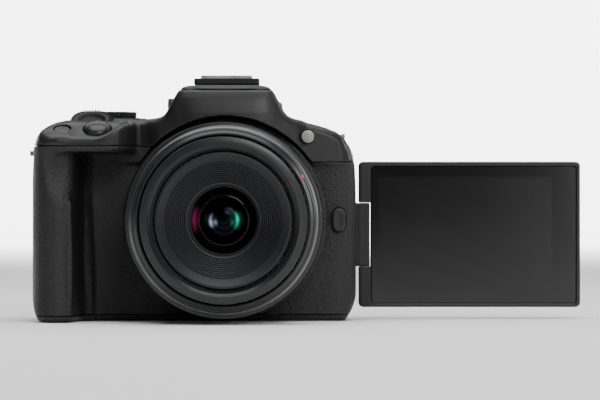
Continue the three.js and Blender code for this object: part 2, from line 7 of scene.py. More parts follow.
import bpy
import numpy as np
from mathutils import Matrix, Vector


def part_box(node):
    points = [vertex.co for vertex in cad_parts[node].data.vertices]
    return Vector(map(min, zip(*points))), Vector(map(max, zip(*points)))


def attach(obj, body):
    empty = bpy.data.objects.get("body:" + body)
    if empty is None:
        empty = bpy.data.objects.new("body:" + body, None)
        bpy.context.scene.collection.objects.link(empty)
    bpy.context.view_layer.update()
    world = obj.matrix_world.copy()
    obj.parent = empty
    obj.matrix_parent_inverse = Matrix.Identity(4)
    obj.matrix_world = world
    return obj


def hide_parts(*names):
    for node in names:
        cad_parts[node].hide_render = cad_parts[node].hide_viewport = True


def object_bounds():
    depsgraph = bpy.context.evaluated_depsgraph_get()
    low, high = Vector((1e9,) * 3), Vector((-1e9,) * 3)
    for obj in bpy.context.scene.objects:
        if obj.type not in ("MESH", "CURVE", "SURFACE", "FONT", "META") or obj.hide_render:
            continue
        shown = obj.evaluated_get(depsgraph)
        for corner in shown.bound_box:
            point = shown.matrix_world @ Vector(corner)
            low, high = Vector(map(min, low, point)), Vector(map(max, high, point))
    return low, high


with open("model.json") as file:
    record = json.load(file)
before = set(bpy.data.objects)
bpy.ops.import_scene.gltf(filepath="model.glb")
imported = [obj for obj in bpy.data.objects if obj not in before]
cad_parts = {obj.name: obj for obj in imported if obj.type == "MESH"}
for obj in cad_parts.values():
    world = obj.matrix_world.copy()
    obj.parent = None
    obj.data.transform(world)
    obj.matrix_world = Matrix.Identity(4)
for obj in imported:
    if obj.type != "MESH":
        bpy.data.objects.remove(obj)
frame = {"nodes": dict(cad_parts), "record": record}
CAD_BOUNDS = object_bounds()

MM = 0.001
nodes = frame["nodes"]


# ------------------------------------------------------------------ sizes taken from the frame

def span(node):
    """The lowest and highest corners of a CAD node, in millimetres."""
    low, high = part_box(node)
    return np.array(low) / MM, np.array(high) / MM


def ranges(node):
    """The node's extent along X, Y and Z, each as a pair."""
    return list(zip(*span(node)))


def centre_of(node):
    low, high = span(node)
    return (low + high) / 2


def half_of(node):
    low, high = span(node)
    return (high - low) / 2


def grown(pair, by):
    """A range made longer at both ends."""
    return pair[0] - by, pair[1] + by


(LEFT, RIGHT), (_, REAR), _ = ranges("rear_cover")
_, (_, HUMP_REAR), (SIDE_SEAM, HUMP_TOP) = ranges("top_cover")
GRIP_FRONT = ranges("front_cover")[1][0]
LENS_Z = centre_of("control_ring")[2]
HINGE_X = 44.1                   # upright axis that the screen swings about
HINGE_Y = centre_of("hinge_arm")[1]

FRONT = -17.0                    # front face beside the lens
SHOULDER = 71.8                  # top face beside the hump
GRIP_SEAM = 62.8                 # joint of the top cover, which drops to SIDE_SEAM past SEAM_STEP
SEAM_STEP = -20.0
SPLIT = -2.0                     # joint between the front and rear covers
BASE = 2.2                       # joint above the bottom plate
HEAD_BOTTOM = 60.5               # the grip's head: its underside, inner end and sloping deck
HEAD_RIGHT = -33.0
DECK_SLOPE = math.radians(28)
DECK_FRONT = 65.4                # its height at the front; it ends at DECK_REAR
DECK_REAR = -18
GRIP_RIDGES = (-54.9, 0, -38.6, 20, 21), (-48.4, 0.05, -17.8, 26, 26)   # x, lean, y, middle, half length
RIDGE_RADIUS = 1.2
EDGE = 2.4                       # rounding between the body's front and plan outlines
ARCH_RADIUS = 37.2               # the top cover's arch over the lens
SURROUND_RADIUS = 36.5           # the raised ring round the mount
SEAM = 0.15                      # half the width of the joint between two covers
GAP = 0.35                       # room round a button
LID_UNDER, LID_REAR = 83.1, -3.7   # the step in the hump that the flash lid fills
SCREEN_ROOM = (3.3, 58.4)        # height of the recess that the screen folds into
RECESS_FLOOR = 10.6
WALL = 2.1


# ------------------------------------------------------------------ distance fields
# A field takes x, y and z arrays and gives the distance to a shape's surface, negative inside.

def both(a, b, radius=0.0):
    """Intersection with its edge rounded."""
    if radius == 0:
        return np.maximum(a, b)
    u = np.maximum(a + radius, 0)
    v = np.maximum(b + radius, 0)
    return np.minimum(-radius, np.maximum(a, b)) + np.sqrt(u * u + v * v)


def either(a, b, radius=0.0):
    """Union with its inner corner filleted."""
    return -both(-a, -b, radius)


def without(a, b, radius=0.0):
    return both(a, -b, radius)


def slab(v, low, high):
    return np.abs(v - (low + high) / 2) - (high - low) / 2


def block(x, y, z, xs, ys, zs, radius=0.0):
    return both(both(slab(x, *xs), slab(y, *ys), radius), slab(z, *zs), radius)


def upright(x, z, xs, zs, radius):
    """A rounded rectangle seen from the front, endless along Y."""
    return block(x, 0 * x, z, xs, (-1, 1), zs, radius)


def disc(u, v, cu, cv, radius):
    return np.hypot(u - cu, v - cv) - radius


def polygon_distance(u, v, points):
    """The signed distance to a closed polygon, negative inside."""
    nearest = np.full(u.shape, np.inf)
    inside = np.zeros(u.shape, bool)
    for (x0, y0), (x1, y1) in zip(points, np.roll(points, -1, axis=0)):
        ex, ey = x1 - x0, y1 - y0
        wx, wy = u - x0, v - y0
        t = np.clip((wx * ex + wy * ey) / (ex * ex + ey * ey), 0, 1)
        nearest = np.minimum(nearest, (wx - t * ex) ** 2 + (wy - t * ey) ** 2)
        inside ^= ((y0 > v) != (y1 > v)) & (wx < ex * wy / (ey if ey else 1e-12))
    return np.sqrt(nearest) * np.where(inside, -1, 1)


def outline(points, margin=12.0, pitch=0.2):
    """The same distance, looked up in a fine table that is made once."""
    low = points.min(axis=0) - margin
    count = np.ceil((points.max(axis=0) + margin - low) / pitch).astype(int) + 1
    u, v = np.meshgrid(*(low[k] + pitch * np.arange(count[k]) for k in (0, 1)), indexing="ij")
    table = polygon_distance(u, v, points)

    def look_up(u, v):
        a = np.clip((u - low[0]) / pitch, 0, count[0] - 1.001)
        b = np.clip((v - low[1]) / pitch, 0, count[1] - 1.001)
        i, j = a.astype(int), b.astype(int)
        a, b = a - i, b - j
        near = table[i, j] * (1 - b) + table[i, j + 1] * b
        far = table[i + 1, j] * (1 - b) + table[i + 1, j + 1] * b
        return near * (1 - a) + far * a

    return look_up


def path(start, *steps, divisions=7):
    """A closed loop of points. A step is one point for a line, two for a quadratic and three for a cubic."""
    points = [np.array(start, float)]
    for step in steps:
        control = [points[-1]] + [np.array(p, float) for p in step]
        if len(control) == 2:
            points.append(control[1])
            continue
        for t in np.linspace(0, 1, divisions + 1)[1:]:
            row = control
            while len(row) > 1:
                row = [a + (b - a) * t for a, b in zip(row, row[1:])]
            points.append(row[0])
    if np.allclose(points[0], points[-1]):
        points.pop()
    return np.array(points)


# ------------------------------------------------------------------ surfaces from fields

def gradient(field, p):
    step = 0.02
    rows = []
    for axis in range(3):
        shift = np.zeros(3)
        shift[axis] = step
        ahead, back = p + shift, p - shift
        rows.append(field(*ahead.T) - field(*back.T))
    g = np.stack(rows, axis=1)
    return g / np.maximum(np.linalg.norm(g, axis=1, keepdims=True), 1e-9)


def contour(field, low, high, cell):
    """Dual contouring: quads on the zero surface that keep its sharp edges."""
    low, high = np.array(low, float), np.array(high, float)
    count = np.ceil((high - low) / cell).astype(int) + 1
    axes = [low[k] + cell * np.arange(count[k]) for k in range(3)]
    grid = np.meshgrid(*axes, indexing="ij", sparse=True)
    value = np.broadcast_to(field(*grid), tuple(count))
    inside = value < 0
    ids, points, faces = [], [], []
    strides = np.array([count[1] * count[2], count[2], 1])
    for axis in range(3):
        first = [slice(None)] * 3
        second = [slice(None)] * 3
        first[axis], second[axis] = slice(None, -1), slice(1, None)
        change = inside[tuple(first)] != inside[tuple(second)]
        index = np.argwhere(change)
        others = [k for k in range(3) if k != axis]
        index = index[(index[:, others] > 0).all(axis=1)]
        ahead = index.copy()
        ahead[:, axis] += 1
        a = value[tuple(index.T)]
        b = value[tuple(ahead.T)]
        start = low + cell * index
        t0, t1 = np.zeros(len(a)), np.ones(len(a))
        for _ in range(4):
            t = np.clip(t0 + (t1 - t0) * a / (a - b), 0, 1)
            p = start.copy()
            p[:, axis] += t * cell
            c = field(*p.T)
            same = (c < 0) == (a < 0)
            t0, a = np.where(same, t, t0), np.where(same, c, a)
            t1, b = np.where(same, t1, t), np.where(same, b, c)
        u, v = others
        around = []
        for du, dv in ((1, 1), (0, 1), (0, 0), (1, 0)):
            corner = index.copy()
            corner[:, u] -= du
            corner[:, v] -= dv
            around.append(corner @ strides)
        around = np.stack(around, axis=1)
        flip = inside[tuple(index.T)] == (axis == 1)
        around[flip] = around[flip][:, ::-1]
        faces.append(around)
        points.append(p)
        ids.append(around)
    p = np.concatenate(points)
    faces = np.concatenate(faces)
    n = gradient(field, p)
    cells, inverse = np.unique(faces.ravel(), return_inverse=True)
    inverse = inverse.reshape(faces.shape)
    total = len(cells)

    def gather(weight):
        return np.bincount(inverse.ravel(), weights=np.repeat(weight, 4), minlength=total)

    hits = gather(np.ones(len(p)))
    centre = np.stack([gather(p[:, k]) for k in range(3)], axis=1) / hits[:, None]
    matrix = np.empty((total, 3, 3))
    for i in range(3):
        for j in range(3):
            matrix[:, i, j] = gather(n[:, i] * n[:, j])
    plane = (n * p).sum(axis=1)
    side = np.stack([gather(n[:, k] * plane) for k in range(3)], axis=1)
    side -= np.einsum("nij,nj->ni", matrix, centre)
    matrix += np.eye(3) * 0.06 * hits[:, None, None]
    shift = np.linalg.solve(matrix, side[:, :, None])[:, :, 0]
    corner = np.stack([cells // strides[0], cells // strides[1] % count[1], cells % count[2]], axis=1)
    corner = low + cell * corner
    vertices = np.clip(centre + shift, corner, corner + cell)
    return vertices, inverse


def turn_outwards(mesh):
    """Flips every face of a closed mesh whose faces point in."""
    mesh.calc_loop_triangles()
    points = np.empty(len(mesh.vertices) * 3)
    mesh.vertices.foreach_get("co", points)
    corners = np.empty(len(mesh.loop_triangles) * 3, dtype=np.int32)
    mesh.loop_triangles.foreach_get("vertices", corners)
    a, b, c = points.reshape(-1, 3)[corners.reshape(-1, 3)].transpose(1, 0, 2)
    if (a * np.cross(b, c)).sum() < 0:
        mesh.flip_normals()


def mesh_object(name, vertices, faces, smooth_angle=35):
    """An object from millimetre vertices and faces of one size, or a list of faces."""
    mesh = bpy.data.meshes.new(name)
    if isinstance(faces, np.ndarray):
        corners = faces.shape[1]
        mesh.vertices.add(len(vertices))
        mesh.vertices.foreach_set("co", (np.asarray(vertices) * MM).ravel())
        mesh.loops.add(faces.size)
        mesh.loops.foreach_set("vertex_index", faces.ravel().astype(np.int32))
        mesh.polygons.add(len(faces))
        mesh.polygons.foreach_set("loop_start", np.arange(0, faces.size, corners, dtype=np.int32))
        mesh.update(calc_edges=True)
    else:
        mesh.from_pydata([tuple(Vector(v) * MM) for v in vertices], [], faces)
    mesh.validate()
    turn_outwards(mesh)
    mesh.shade_smooth()
    if smooth_angle:
        mesh.set_sharp_from_angle(angle=math.radians(smooth_angle))
    piece = bpy.data.objects.new(name, mesh)
    bpy.context.scene.collection.objects.link(piece)
    return piece


# ------------------------------------------------------------------ body shape

# Front view of the body without its hump. Its sides lie past the plan's, which sets the width.
PAST = 3.0
body_outline = outline(path(
    (LEFT + 4, 0), [(RIGHT - 4, 0)], [(RIGHT + PAST, 10)], [(RIGHT + PAST, 40)],
    [(RIGHT + 0.6, 56)], [(RIGHT - 1.5, 66), (39, 68.8), (26, 71.2)], [(20, SHOULDER)], [(-54, SHOULDER)],
    [(-62, 71.4), (-67.5, 68.5), (LEFT - 0.6, 59)], [(LEFT - PAST, 45)], [(LEFT - PAST, 12)],
    [(LEFT, 0), (LEFT + 4, 0)],
))

# Plan of the body below the grip head: the grip bulges forward.
lower_plan = outline(path(
    (LEFT + 5, REAR), [(LEFT, REAR), (LEFT, REAR - 5)], [(LEFT, -24)],
    [(LEFT, -34), (-66, GRIP_FRONT), (-60, GRIP_FRONT)],
    [(-55.6, GRIP_FRONT), (-53.8, -37.5), (-53.2, -31)], [(-52.6, -23), (-52, FRONT), (-45, FRONT)],
    [(RIGHT - 9, FRONT)], [(RIGHT, FRONT), (RIGHT, FRONT + 9)], [(RIGHT, REAR - 4.5)],
    [(RIGHT, REAR), (RIGHT - 4.5, REAR)],
))

# Plan of the grip's head, which reaches further towards the lens.
head_plan = outline(path(
    (HEAD_RIGHT, REAR - 6), [(LEFT, REAR - 6)], [(LEFT, -24)],
    [(LEFT, -34), (-64, GRIP_FRONT), (-56, GRIP_FRONT)], [(-42, GRIP_FRONT)],
    [(HEAD_RIGHT, GRIP_FRONT), (HEAD_RIGHT, GRIP_FRONT + 11)],
))

# Front view of the hump, right half, and its side view.
hump_half = outline(path(
    (-30, 50), [(27, 50)], [(27, SHOULDER - 0.6)], [(21, SHOULDER + 1.4), (21, 76), (18.6, 80)],
    [(17, 83.6), (15, HUMP_TOP), (11.5, HUMP_TOP)], [(-30, HUMP_TOP)],
))
hump_side = outline(path(
    (-26.5, 50), [(HUMP_REAR, 50)], [(HUMP_REAR, 80.5)], [(17, 83.6)], [(-2, HUMP_TOP)], [(-21.2, HUMP_TOP)],
    [(-24.6, 82.5), (-26.5, 77), (-26.5, 68)],
))


def lens_disc(x, z, radius):
    return disc(x, z, 0, LENS_Z, radius)


def deck(x, y, z):
    """The sloped deck of the grip head, negative below it; its front edge rises towards the lens."""
    slope = (z - DECK_FRONT) * math.cos(DECK_SLOPE) - (y - GRIP_FRONT) * math.sin(DECK_SLOPE)
    rise = (z - 65.7) * math.cos(0.54) - (x + 44) * math.sin(0.54)
    return either(slope, rise, 1.5)


def finger_recess(x, y, z):
    """A shallow hollow in the grip below its head, where the fingers curl."""
    return (np.sqrt(((x + 53) / 15) ** 2 + ((y + 45.5) / 9.5) ** 2 + ((z - 54) / 12) ** 2) - 1) * 9


def body(x, y, z):
    """The whole casing as one smooth shape, before it is split into covers: the lower part with the grip
    and its two upright ridges, the grip's head, a brow over the lens and the hump."""
    face = body_outline(x, z)
    sloped = np.where(y < DECK_REAR, deck(x, y, z), -5.0)
    plan = lower_plan(x, y)
    for cx, lean, cy, middle, reach in GRIP_RIDGES:
        thickness = RIDGE_RADIUS - RIDGE_RADIUS * ((z - middle) / reach) ** 2
        plan = either(plan, disc(x, y, cx - lean * z, cy, thickness), 2.0)
    lower = both(face, plan, EDGE)
    lower = both(lower, np.where(x < HEAD_RIGHT, sloped, -5.0), 1.6)
    lower = without(lower, finger_recess(x, y, z), 2.5)
    head = both(both(face, head_plan(x, y), EDGE), HEAD_BOTTOM - z, 1.2)
    casing = either(lower, both(head, sloped, 1.6), 2.0)
    # The brow falls back at both ends, and the hump's front bends back towards the shoulders.
    fall = 0.28 * (np.maximum(x - 22, 0) + np.maximum(-24 - x, 0))
    brow = both(both(face, both(-21.5 + fall - y, y - FRONT - 6), 2.0), slab(x, -40, 42), 1.0)
    casing = either(casing, both(brow, SIDE_SEAM - z), 3.0)
    bend = 0.28 * (np.sqrt((np.abs(x) - 15) ** 2 + 9) + np.abs(x) - 15)
    hump = both(hump_half(np.abs(x), z), hump_side(y - bend * np.clip(-y / 20, 0, 1), z), 1.8)
    casing = either(casing, hump, 3.0)
    return without(casing, both(lens_disc(x, z, ARCH_RADIUS), y - FRONT, 0.3), 0.5)


# ------------------------------------------------------------------ covers

FINE = 0.62   # cell of the covers' surfaces
DECK_AXIS = (0, -math.sin(DECK_SLOPE), math.cos(DECK_SLOPE))
DECK_BUTTONS = {"shutter_button": (4.9, 6.6), "record_button": (2.9, 6.0)}   # radius, place behind the front
REAR_BUTTONS = ["ae_lock_button", "af_point_button", "info_button", "playback_button", "menu_button"]


def deck_place(node):
    """The point where a button's axis meets the deck."""
    behind = DECK_BUTTONS[node][1]
    return np.array([centre_of(node)[0], GRIP_FRONT + behind, DECK_FRONT + behind * math.tan(DECK_SLOPE)])


def deck_axes(x, y, z, place):
    """Distance from the axis that stands on the deck at a place, and height along it."""
    cx, cy, cz = place
    along = (y - cy) * math.cos(DECK_SLOPE) + (z - cz) * math.sin(DECK_SLOPE)
    height = (z - cz) * math.cos(DECK_SLOPE) - (y - cy) * math.sin(DECK_SLOPE)
    return np.hypot(x - cx, along), height


def room(x, y, z, casing):
    """The hollow inside the covers, which ends in front of the screen's recess."""
    rear = np.where(z > 64, 14.0, 8.4)
    hollow = both(both(casing + WALL, y - rear), BASE - z)
    return without(hollow, both(lens_disc(x, z, ARCH_RADIUS + 2), y - (FRONT + 4)))


def above_seam(x, y, z):
    """The space that the top cover takes: the joint steps down and arches over the lens."""
    side = both(both(SIDE_SEAM - z, SEAM_STEP - x), y - SPLIT)
    region = either(GRIP_SEAM - z, side)
    return without(region, both(lens_disc(x, z, ARCH_RADIUS), y - (FRONT + 2.3)))


def shell(x, y, z):
    casing = body(x, y, z)
    return without(casing, room(x, y, z, casing))


def top_cover_field(x, y, z):
    f = both(shell(x, y, z), above_seam(x, y, z) + SEAM, 0.3)
    f = without(f, both(LID_UNDER - z, y - LID_REAR), 0.2)
    lid_hinge = both(disc(y, z, -5.3, 84.35, 1.8), slab(x, -30, 30))
    f = without(f, lid_hinge)
    flash_room = block(x, y, z, (-11.6, 11.6), (-18.6, -7.9), (76.6, 90), 0.5)
    f = without(f, flash_room, 0.2)
    eyepiece_z = centre_of("eyepiece_lens")[2]
    window = upright(x, z, (-10, 10), (eyepiece_z - 6.5, eyepiece_z + 6.5), 2)
    f = without(f, both(window, 8 - y), 0.3)
    for node, (radius, _) in DECK_BUTTONS.items():
        across, height = deck_axes(x, y, z, deck_place(node))
        f = without(f, both(across - radius - GAP, -4.6 - height), 0.35)
    across, height = deck_axes(x, y, z, centre_of("main_dial"))
    f = without(f, both(across - 8.0, slab(height, -3, 9)), 0.4)
    dioptre_room = block(x, y, z, (-24, -14), (11, 30), (74, 82), 0.5)
    f = without(f, dioptre_room, 0.4)
    lamp_x, _, lamp_z = centre_of("af_lamp")
    f = without(f, both(disc(x, z, lamp_x, lamp_z, 2.6), y + 18), 0.3)
    lug_slot = block(x, y, z, (41.5, 43.5), (-3.8, 3.8), (62.5, 90))
    f = without(f, lug_slot, 0.2)
    finger_lugs = both(disc(np.abs(x), z, 18.9, 77.4, 1.6), slab(y, -17, -12), 0.6)
    return either(f, finger_lugs, 0.3)


def surround(x, y, z):
    """The raised ring round the lens mount, part of the front cover."""
    ring = both(lens_disc(x, z, SURROUND_RADIUS), slab(y, -19.2, FRONT + 1), 0.8)
    return both(ring, BASE + 0.3 - z)


def port_pocket(x, y, z):
    """The flap's seat in the grip side and the deeper hole for the socket behind it."""
    seat = block(x, y, z, (LEFT - 5, LEFT + 1.5), (-12, 4), (20, 42), 0.6)
    hole = block(x, y, z, (LEFT - 5, LEFT + 5), (-9.3, 1.3), (23.7, 38.3), 0.6)
    return either(seat, hole)


def below_seam(f, x, y, z):
    """The part of a shell between the joints of the top cover and the bottom plate."""
    f = both(f, SEAM - above_seam(x, y, z), 0.3)
    return both(f, BASE + SEAM - z, 0.2)


def front_cover_field(x, y, z):
    casing = either(body(x, y, z), surround(x, y, z), 0.8)
    f = below_seam(without(casing, room(x, y, z, casing)), x, y, z)
    f = both(f, y - SPLIT + SEAM, 0.3)
    f = without(f, both(lens_disc(x, z, 33.3), y + 8), 0.3)
    xs, _, zs = ranges("lens_release_button")
    release = upright(x, z, grown(xs, GAP), grown(zs, GAP), 3.6)
    f = without(f, both(release, y + 12), 0.3)
    return without(f, port_pocket(x, y, z), 0.2)


def rear_cover_field(x, y, z):
    f = below_seam(shell(x, y, z), x, y, z)
    f = both(both(f, SPLIT + SEAM - y, 0.3), y - REAR, 0.2)
    recess = both(upright(x, z, (-42.6, 40.6), SCREEN_ROOM, 2.0), RECESS_FLOOR - y)
    swing = both(both(disc(x, y, HINGE_X, 14.5, 5.7), slab(z, *SCREEN_ROOM)), both(x - HINGE_X, 14.5 - y))
    f = without(f, either(recess, swing), 0.5)
    arm_room = grown(ranges("hinge_arm")[2], 0.3)
    barrel = both(disc(x, y, HINGE_X, HINGE_Y, 3.7), slab(z, *arm_room))
    outer = both(block(x, y, z, (30, 60), (HINGE_Y - 3.7, 40), arm_room), HINGE_X - x)
    inner = both(block(x, y, z, (30, 44.2), (RECESS_FLOOR, 40), arm_room), x - 44.2)
    f = without(f, either(barrel, either(outer, inner)), 0.3)
    for node in REAR_BUTTONS + ["control_pad"]:
        cx, _, cz = centre_of(node)
        f = without(f, both(disc(x, z, cx, cz, half_of(node)[0] + GAP), 15 - y), 0.3)
    return without(f, port_pocket(x, y, z), 0.2)


def bottom_plate_field(x, y, z):
    casing = body(x, y, z)
    plate = both(casing, z - BASE + SEAM, 0.2)
    tongue = both(both(casing + 2.5, lower_plan(x, y) + 2.5), slab(z, 0.8, BASE + 1.5))
    door = both(lower_plan(x, y) + 2.2, both(x + 42, y - 13))
    f = without(either(plate, tongue), door, 0.3)
    return without(f, disc(x, y, *centre_of("tripod_socket")[:2], 5.8), 0.3)


def field_piece(name, field, cell, *covered):
    """A piece whose surface is a field, looked for round the nodes it covers, inside the CAD's box."""
    low, high = np.array([span(node) for node in covered]).transpose(1, 0, 2)
    margin = 1.37 * cell
    vertices, faces = contour(field, low.min(axis=0) - margin, high.max(axis=0) + margin, cell)
    return mesh_object(name, np.clip(vertices, *(np.array(CAD_BOUNDS) / MM)), faces)


# ------------------------------------------------------------------ materials

def material(name, color, roughness, metallic=0.0, **sockets):
    """A principled material; sockets are set straight on the shader by name."""
    mat = bpy.data.materials.new(name)
    mat.use_nodes = True
    shader = mat.node_tree.nodes["Principled BSDF"]
    shader.inputs["Base Color"].default_value = (*color, 1)
    shader.inputs["Roughness"].default_value = roughness
    shader.inputs["Metallic"].default_value = metallic
    for socket, value in sockets.items():
        shader.inputs[socket.replace("_", " ")].default_value = value
    return mat


def add_node(tree, kind, inputs=(), **settings):
    """Adds a shader node whose inputs are given as values or as the outputs of other nodes."""
    node = tree.nodes.new("ShaderNode" + kind)
    for name, value in settings.items():
        setattr(node, name, value)
    for socket, value in dict(inputs).items():
        if isinstance(value, bpy.types.NodeSocket):
            tree.links.new(value, node.inputs[socket])
        else:
            node.inputs[socket].default_value = value
    return node


def mixed(tree, factor, first, second, blend="MIX"):
    """The colour between two colours, by a factor."""
    inputs = {0: factor, 6: first, 7: second}
    return add_node(tree, "Mix", inputs, data_type="RGBA", blend_type=blend).outputs[2]


def grain(mat, scale, depth, color, wear=0.0, rough=(0.35, 0.5), cells=False):
    """Adds bump, and colour and roughness that vary over the surface, in object space."""
    tree = mat.node_tree
    shader = tree.nodes["Principled BSDF"]
    place = add_node(tree, "TexCoord").outputs["Object"]
    noise = {"Scale": scale, "Detail": 4, "Roughness": 0.6, "Vector": place}
    height = add_node(tree, "TexNoise", noise).outputs["Fac"]
    if cells:
        pebbles = {"Scale": scale * 0.8, "Smoothness": 0.6, "Vector": place}
        pebble = add_node(tree, "TexVoronoi", pebbles, feature="SMOOTH_F1").outputs["Distance"]
        height = add_node(tree, "Math", {0: pebble, 1: height}, operation="ADD").outputs[0]
    bump = add_node(tree, "Bump", {"Strength": 1, "Distance": depth, "Height": height})
    tree.links.new(bump.outputs["Normal"], shader.inputs["Normal"])
    broad = add_node(tree, "TexNoise", {"Scale": 45, "Detail": 3, "Vector": place}).outputs["Fac"]
    ramp = {"From Min": 0.3, "From Max": 0.7, "To Min": rough[0], "To Max": rough[1], "Value": broad}
    roughness = add_node(tree, "MapRange", ramp).outputs["Result"]
    tree.links.new(roughness, shader.inputs["Roughness"])
    result = mixed(tree, broad, (*[c * 0.86 for c in color], 1), (*[c * 1.14 for c in color], 1))
    if wear:
        edges = add_node(tree, "NewGeometry").outputs["Pointiness"]
        worn = {"From Min": 0.54, "From Max": 0.62, "To Max": wear, "Value": edges}
        rubbed = (*[min(1, c * 2.6 + 0.03) for c in color], 1)
        result = mixed(tree, add_node(tree, "MapRange", worn).outputs["Result"], result, rubbed)
    tree.links.new(result, shader.inputs["Base Color"])
    return mat


def plastic(name, color, scale, depth, rough, **more):
    base = material(name, color, sum(rough) / 2, Specular_IOR_Level=0.4)
    return grain(base, scale, depth, color, rough=rough, **more)


def plain(name, color, roughness, scale, depth, rough=(0.35, 0.5), metallic=0.0, **sockets):
    """A material of one colour with fine grain of a given depth in metres."""
    return grain(material(name, color, roughness, metallic, **sockets), scale, depth, color, rough=rough)


TEXTURED = plastic("textured_black", (0.009, 0.009, 0.0095), 1150, 0.0002, (0.5, 0.6), cells=True)
SATIN = plastic("satin_black", (0.01, 0.01, 0.011), 5200, 0.000012, (0.34, 0.42), wear=0.25)
MATTE = plastic("matte_black", (0.008, 0.008, 0.0085), 4000, 0.00001, (0.55, 0.7))
RUBBER = plastic("rubber_black", (0.008, 0.008, 0.0085), 2600, 0.00004, (0.65, 0.8))
GLOSS = plastic("gloss_black", (0.01, 0.01, 0.011), 900, 0.000004, (0.1, 0.16))
LENS_PAINT = plastic("lens_black", (0.012, 0.0125, 0.0135), 5200, 0.000008, (0.28, 0.36))
NAME_PAINT = plastic("name_ring_black", (0.016, 0.0165, 0.018), 3000, 0.00001, (0.4, 0.5))
STEEL = plain("bright_metal", (0.62, 0.62, 0.63), 0.3, 2500, 0.000006, (0.2, 0.34), 1.0)
EDGE_METAL = plain("edge_metal", (0.22, 0.22, 0.23), 0.35, 2500, 0.000004, (0.3, 0.42), 1.0)
BRASS = plain("contact_gold", (0.55, 0.4, 0.16), 0.3, 1500, 0.000004, (0.2, 0.32), 1.0)
DIE_CAST = plain("die_cast", (0.16, 0.16, 0.165), 0.4, 2500, 0.00002, (0.35, 0.5), 0.8)
BOARD = plain("circuit_board", (0.02, 0.09, 0.05), 0.5, 800, 0.00002)
LAMP = plain("lamp_lens", (0.3, 0.295, 0.285), 0.25, 700, 0.00006, (0.2, 0.3))


def glass_with_painted_reflections(name, dark, roughness, metallic, *painted_spots):
    """Dark lens glass with painted reflections: a colour painted into it round each point (x, y, z, reach,
    colour) of its face, and faint painted rings of reflection, as from the glasses behind it."""
    mat = material(name, dark, roughness, metallic)
    grain(mat, 300, 0.0000005, dark, rough=(roughness * 0.8, roughness * 1.3))
    tree = mat.node_tree
    place = add_node(tree, "TexCoord").outputs["Object"]
    color = (*dark, 1)
    # Each point paints a reflection: its colour is mixed into the glass's colour and fades out over its
    # reach.
    for x, y, z, reach, tint in painted_spots:
        spot = {0: place, 1: (x * MM, y * MM, z * MM)}
        away = add_node(tree, "VectorMath", spot, operation="DISTANCE").outputs["Value"]
        fade = {"From Min": reach * MM, "From Max": 0, "Value": away}
        near = add_node(tree, "MapRange", fade, interpolation_type="SMOOTHSTEP").outputs["Result"]
        color = mixed(tree, near, color, (*tint, 1))
    # Painted rings of reflection: the colour is darkened in faint rings round the lens axis.
    place = add_node(tree, "Mapping", {"Location": (0, 0, -LENS_Z * MM), "Vector": place}).outputs["Vector"]
    waves = {"Scale": 165, "Vector": place}
    rings = add_node(tree, "TexWave", waves, wave_type="RINGS", rings_direction="Y").outputs["Fac"]
    shade = add_node(tree, "MapRange", {"To Min": 0.3, "Value": rings}).outputs["Result"]
    color = mixed(tree, 1, color, shade, "MULTIPLY")
    tree.links.new(color, tree.nodes["Principled BSDF"].inputs["Base Color"])
    return mat


def clear_glass(name, tint, alpha, roughness):
    """Dark see-through glass whose reflections take a tint of a colour."""
    dark = [0.004 * c for c in tint]
    mat = material(name, dark, roughness, IOR=1.7, Specular_IOR_Level=1.0, Specular_Tint=(*tint, 1),
                   Alpha=alpha)
    return grain(mat, 300, 0.0000005, dark, rough=(roughness * 0.7, roughness * 1.4))


# Painted reflection on the front glass: magenta put into its colour near the left edge. It is half metallic,
# so the colour shows under any light.
FRONT_GLASS_PAINTED_REFLECTION = glass_with_painted_reflections("front_glass", (0.006, 0.006, 0.008), 0.1, 0.6,
                        (-14, -50, LENS_Z + 0.5, 7.5, (1.0, 0.08, 0.42)))
# Painted reflections on the second glass: a pale blue highlight left of the middle and two teal patches, put
# into its colour.
INNER_GLASS_PAINTED_REFLECTION = glass_with_painted_reflections("inner_glass", (0.006, 0.007, 0.009), 0.18, 1.0,
                      (-4.4, -49.5, LENS_Z, 3.2, (0.42, 0.48, 0.66)),
                      (5.6, -49, LENS_Z, 4.4, (0.02, 0.34, 0.22)),
                      (-7.6, -48, LENS_Z + 1, 3.2, (0.02, 0.25, 0.22)))
CLEAR_GLASS = clear_glass("clear_glass", (0.7, 0.8, 1.0), 0.5, 0.03)
SCREEN_GLASS = plain("screen_glass_black", (0.003, 0.003, 0.0034), 0.12, 1200, 0.0000006, (0.11, 0.13),
                     Specular_IOR_Level=0.5)
DISPLAY = plain("display_panel", (0.004, 0.004, 0.0045), 0.16, 2400, 0.0000008, (0.13, 0.15),
                Specular_IOR_Level=0.5)
RED = plain("index_red", (0.6, 0.03, 0.025), 0.4, 900, 0.000004)
MARK = plain("mark_grey", (0.45, 0.45, 0.46), 0.5, 900, 0.000002)
SLOT_MATERIALS = {
    "texture_black": TEXTURED, "satin_black": SATIN, "matte_black": MATTE, "gloss_black": GLOSS,
    "screen_black": SCREEN_GLASS, "rubber_black": RUBBER, "lens_black": LENS_PAINT,
    "lens_texture": LENS_PAINT, "bright_metal": STEEL, "dark_metal": DIE_CAST, "board_green": BOARD,
    "coated_glass": CLEAR_GLASS, "clear_window": LAMP, "lamp_grey": LAMP,
}
NODE_SLOT = {entry["node"]: entry["material_slot"] for entry in frame["record"]["subparts"]}
BODIES = frame["record"]["behaviour"]["bodies"]
NODE_BODY = {node: name for name, members in BODIES.items() for node in members}


def dress(piece, mat, *replaced):
    """Gives a piece its material and body, and hides the CAD nodes it stands for."""
    piece.data.materials.append(mat)
    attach(piece, NODE_BODY[replaced[0]])
    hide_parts(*replaced)


def extra(piece, mat, body_name):
    """The same for a small piece that replaces no node."""
    piece.data.materials.append(mat)
    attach(piece, body_name)


def shaped(name, field, cell, mat, *replaced):
    """A piece made from a field and dressed for the nodes it stands for."""
    dress(field_piece(name, field, cell, *replaced), mat, *replaced)


# ------------------------------------------------------------------ turned pieces

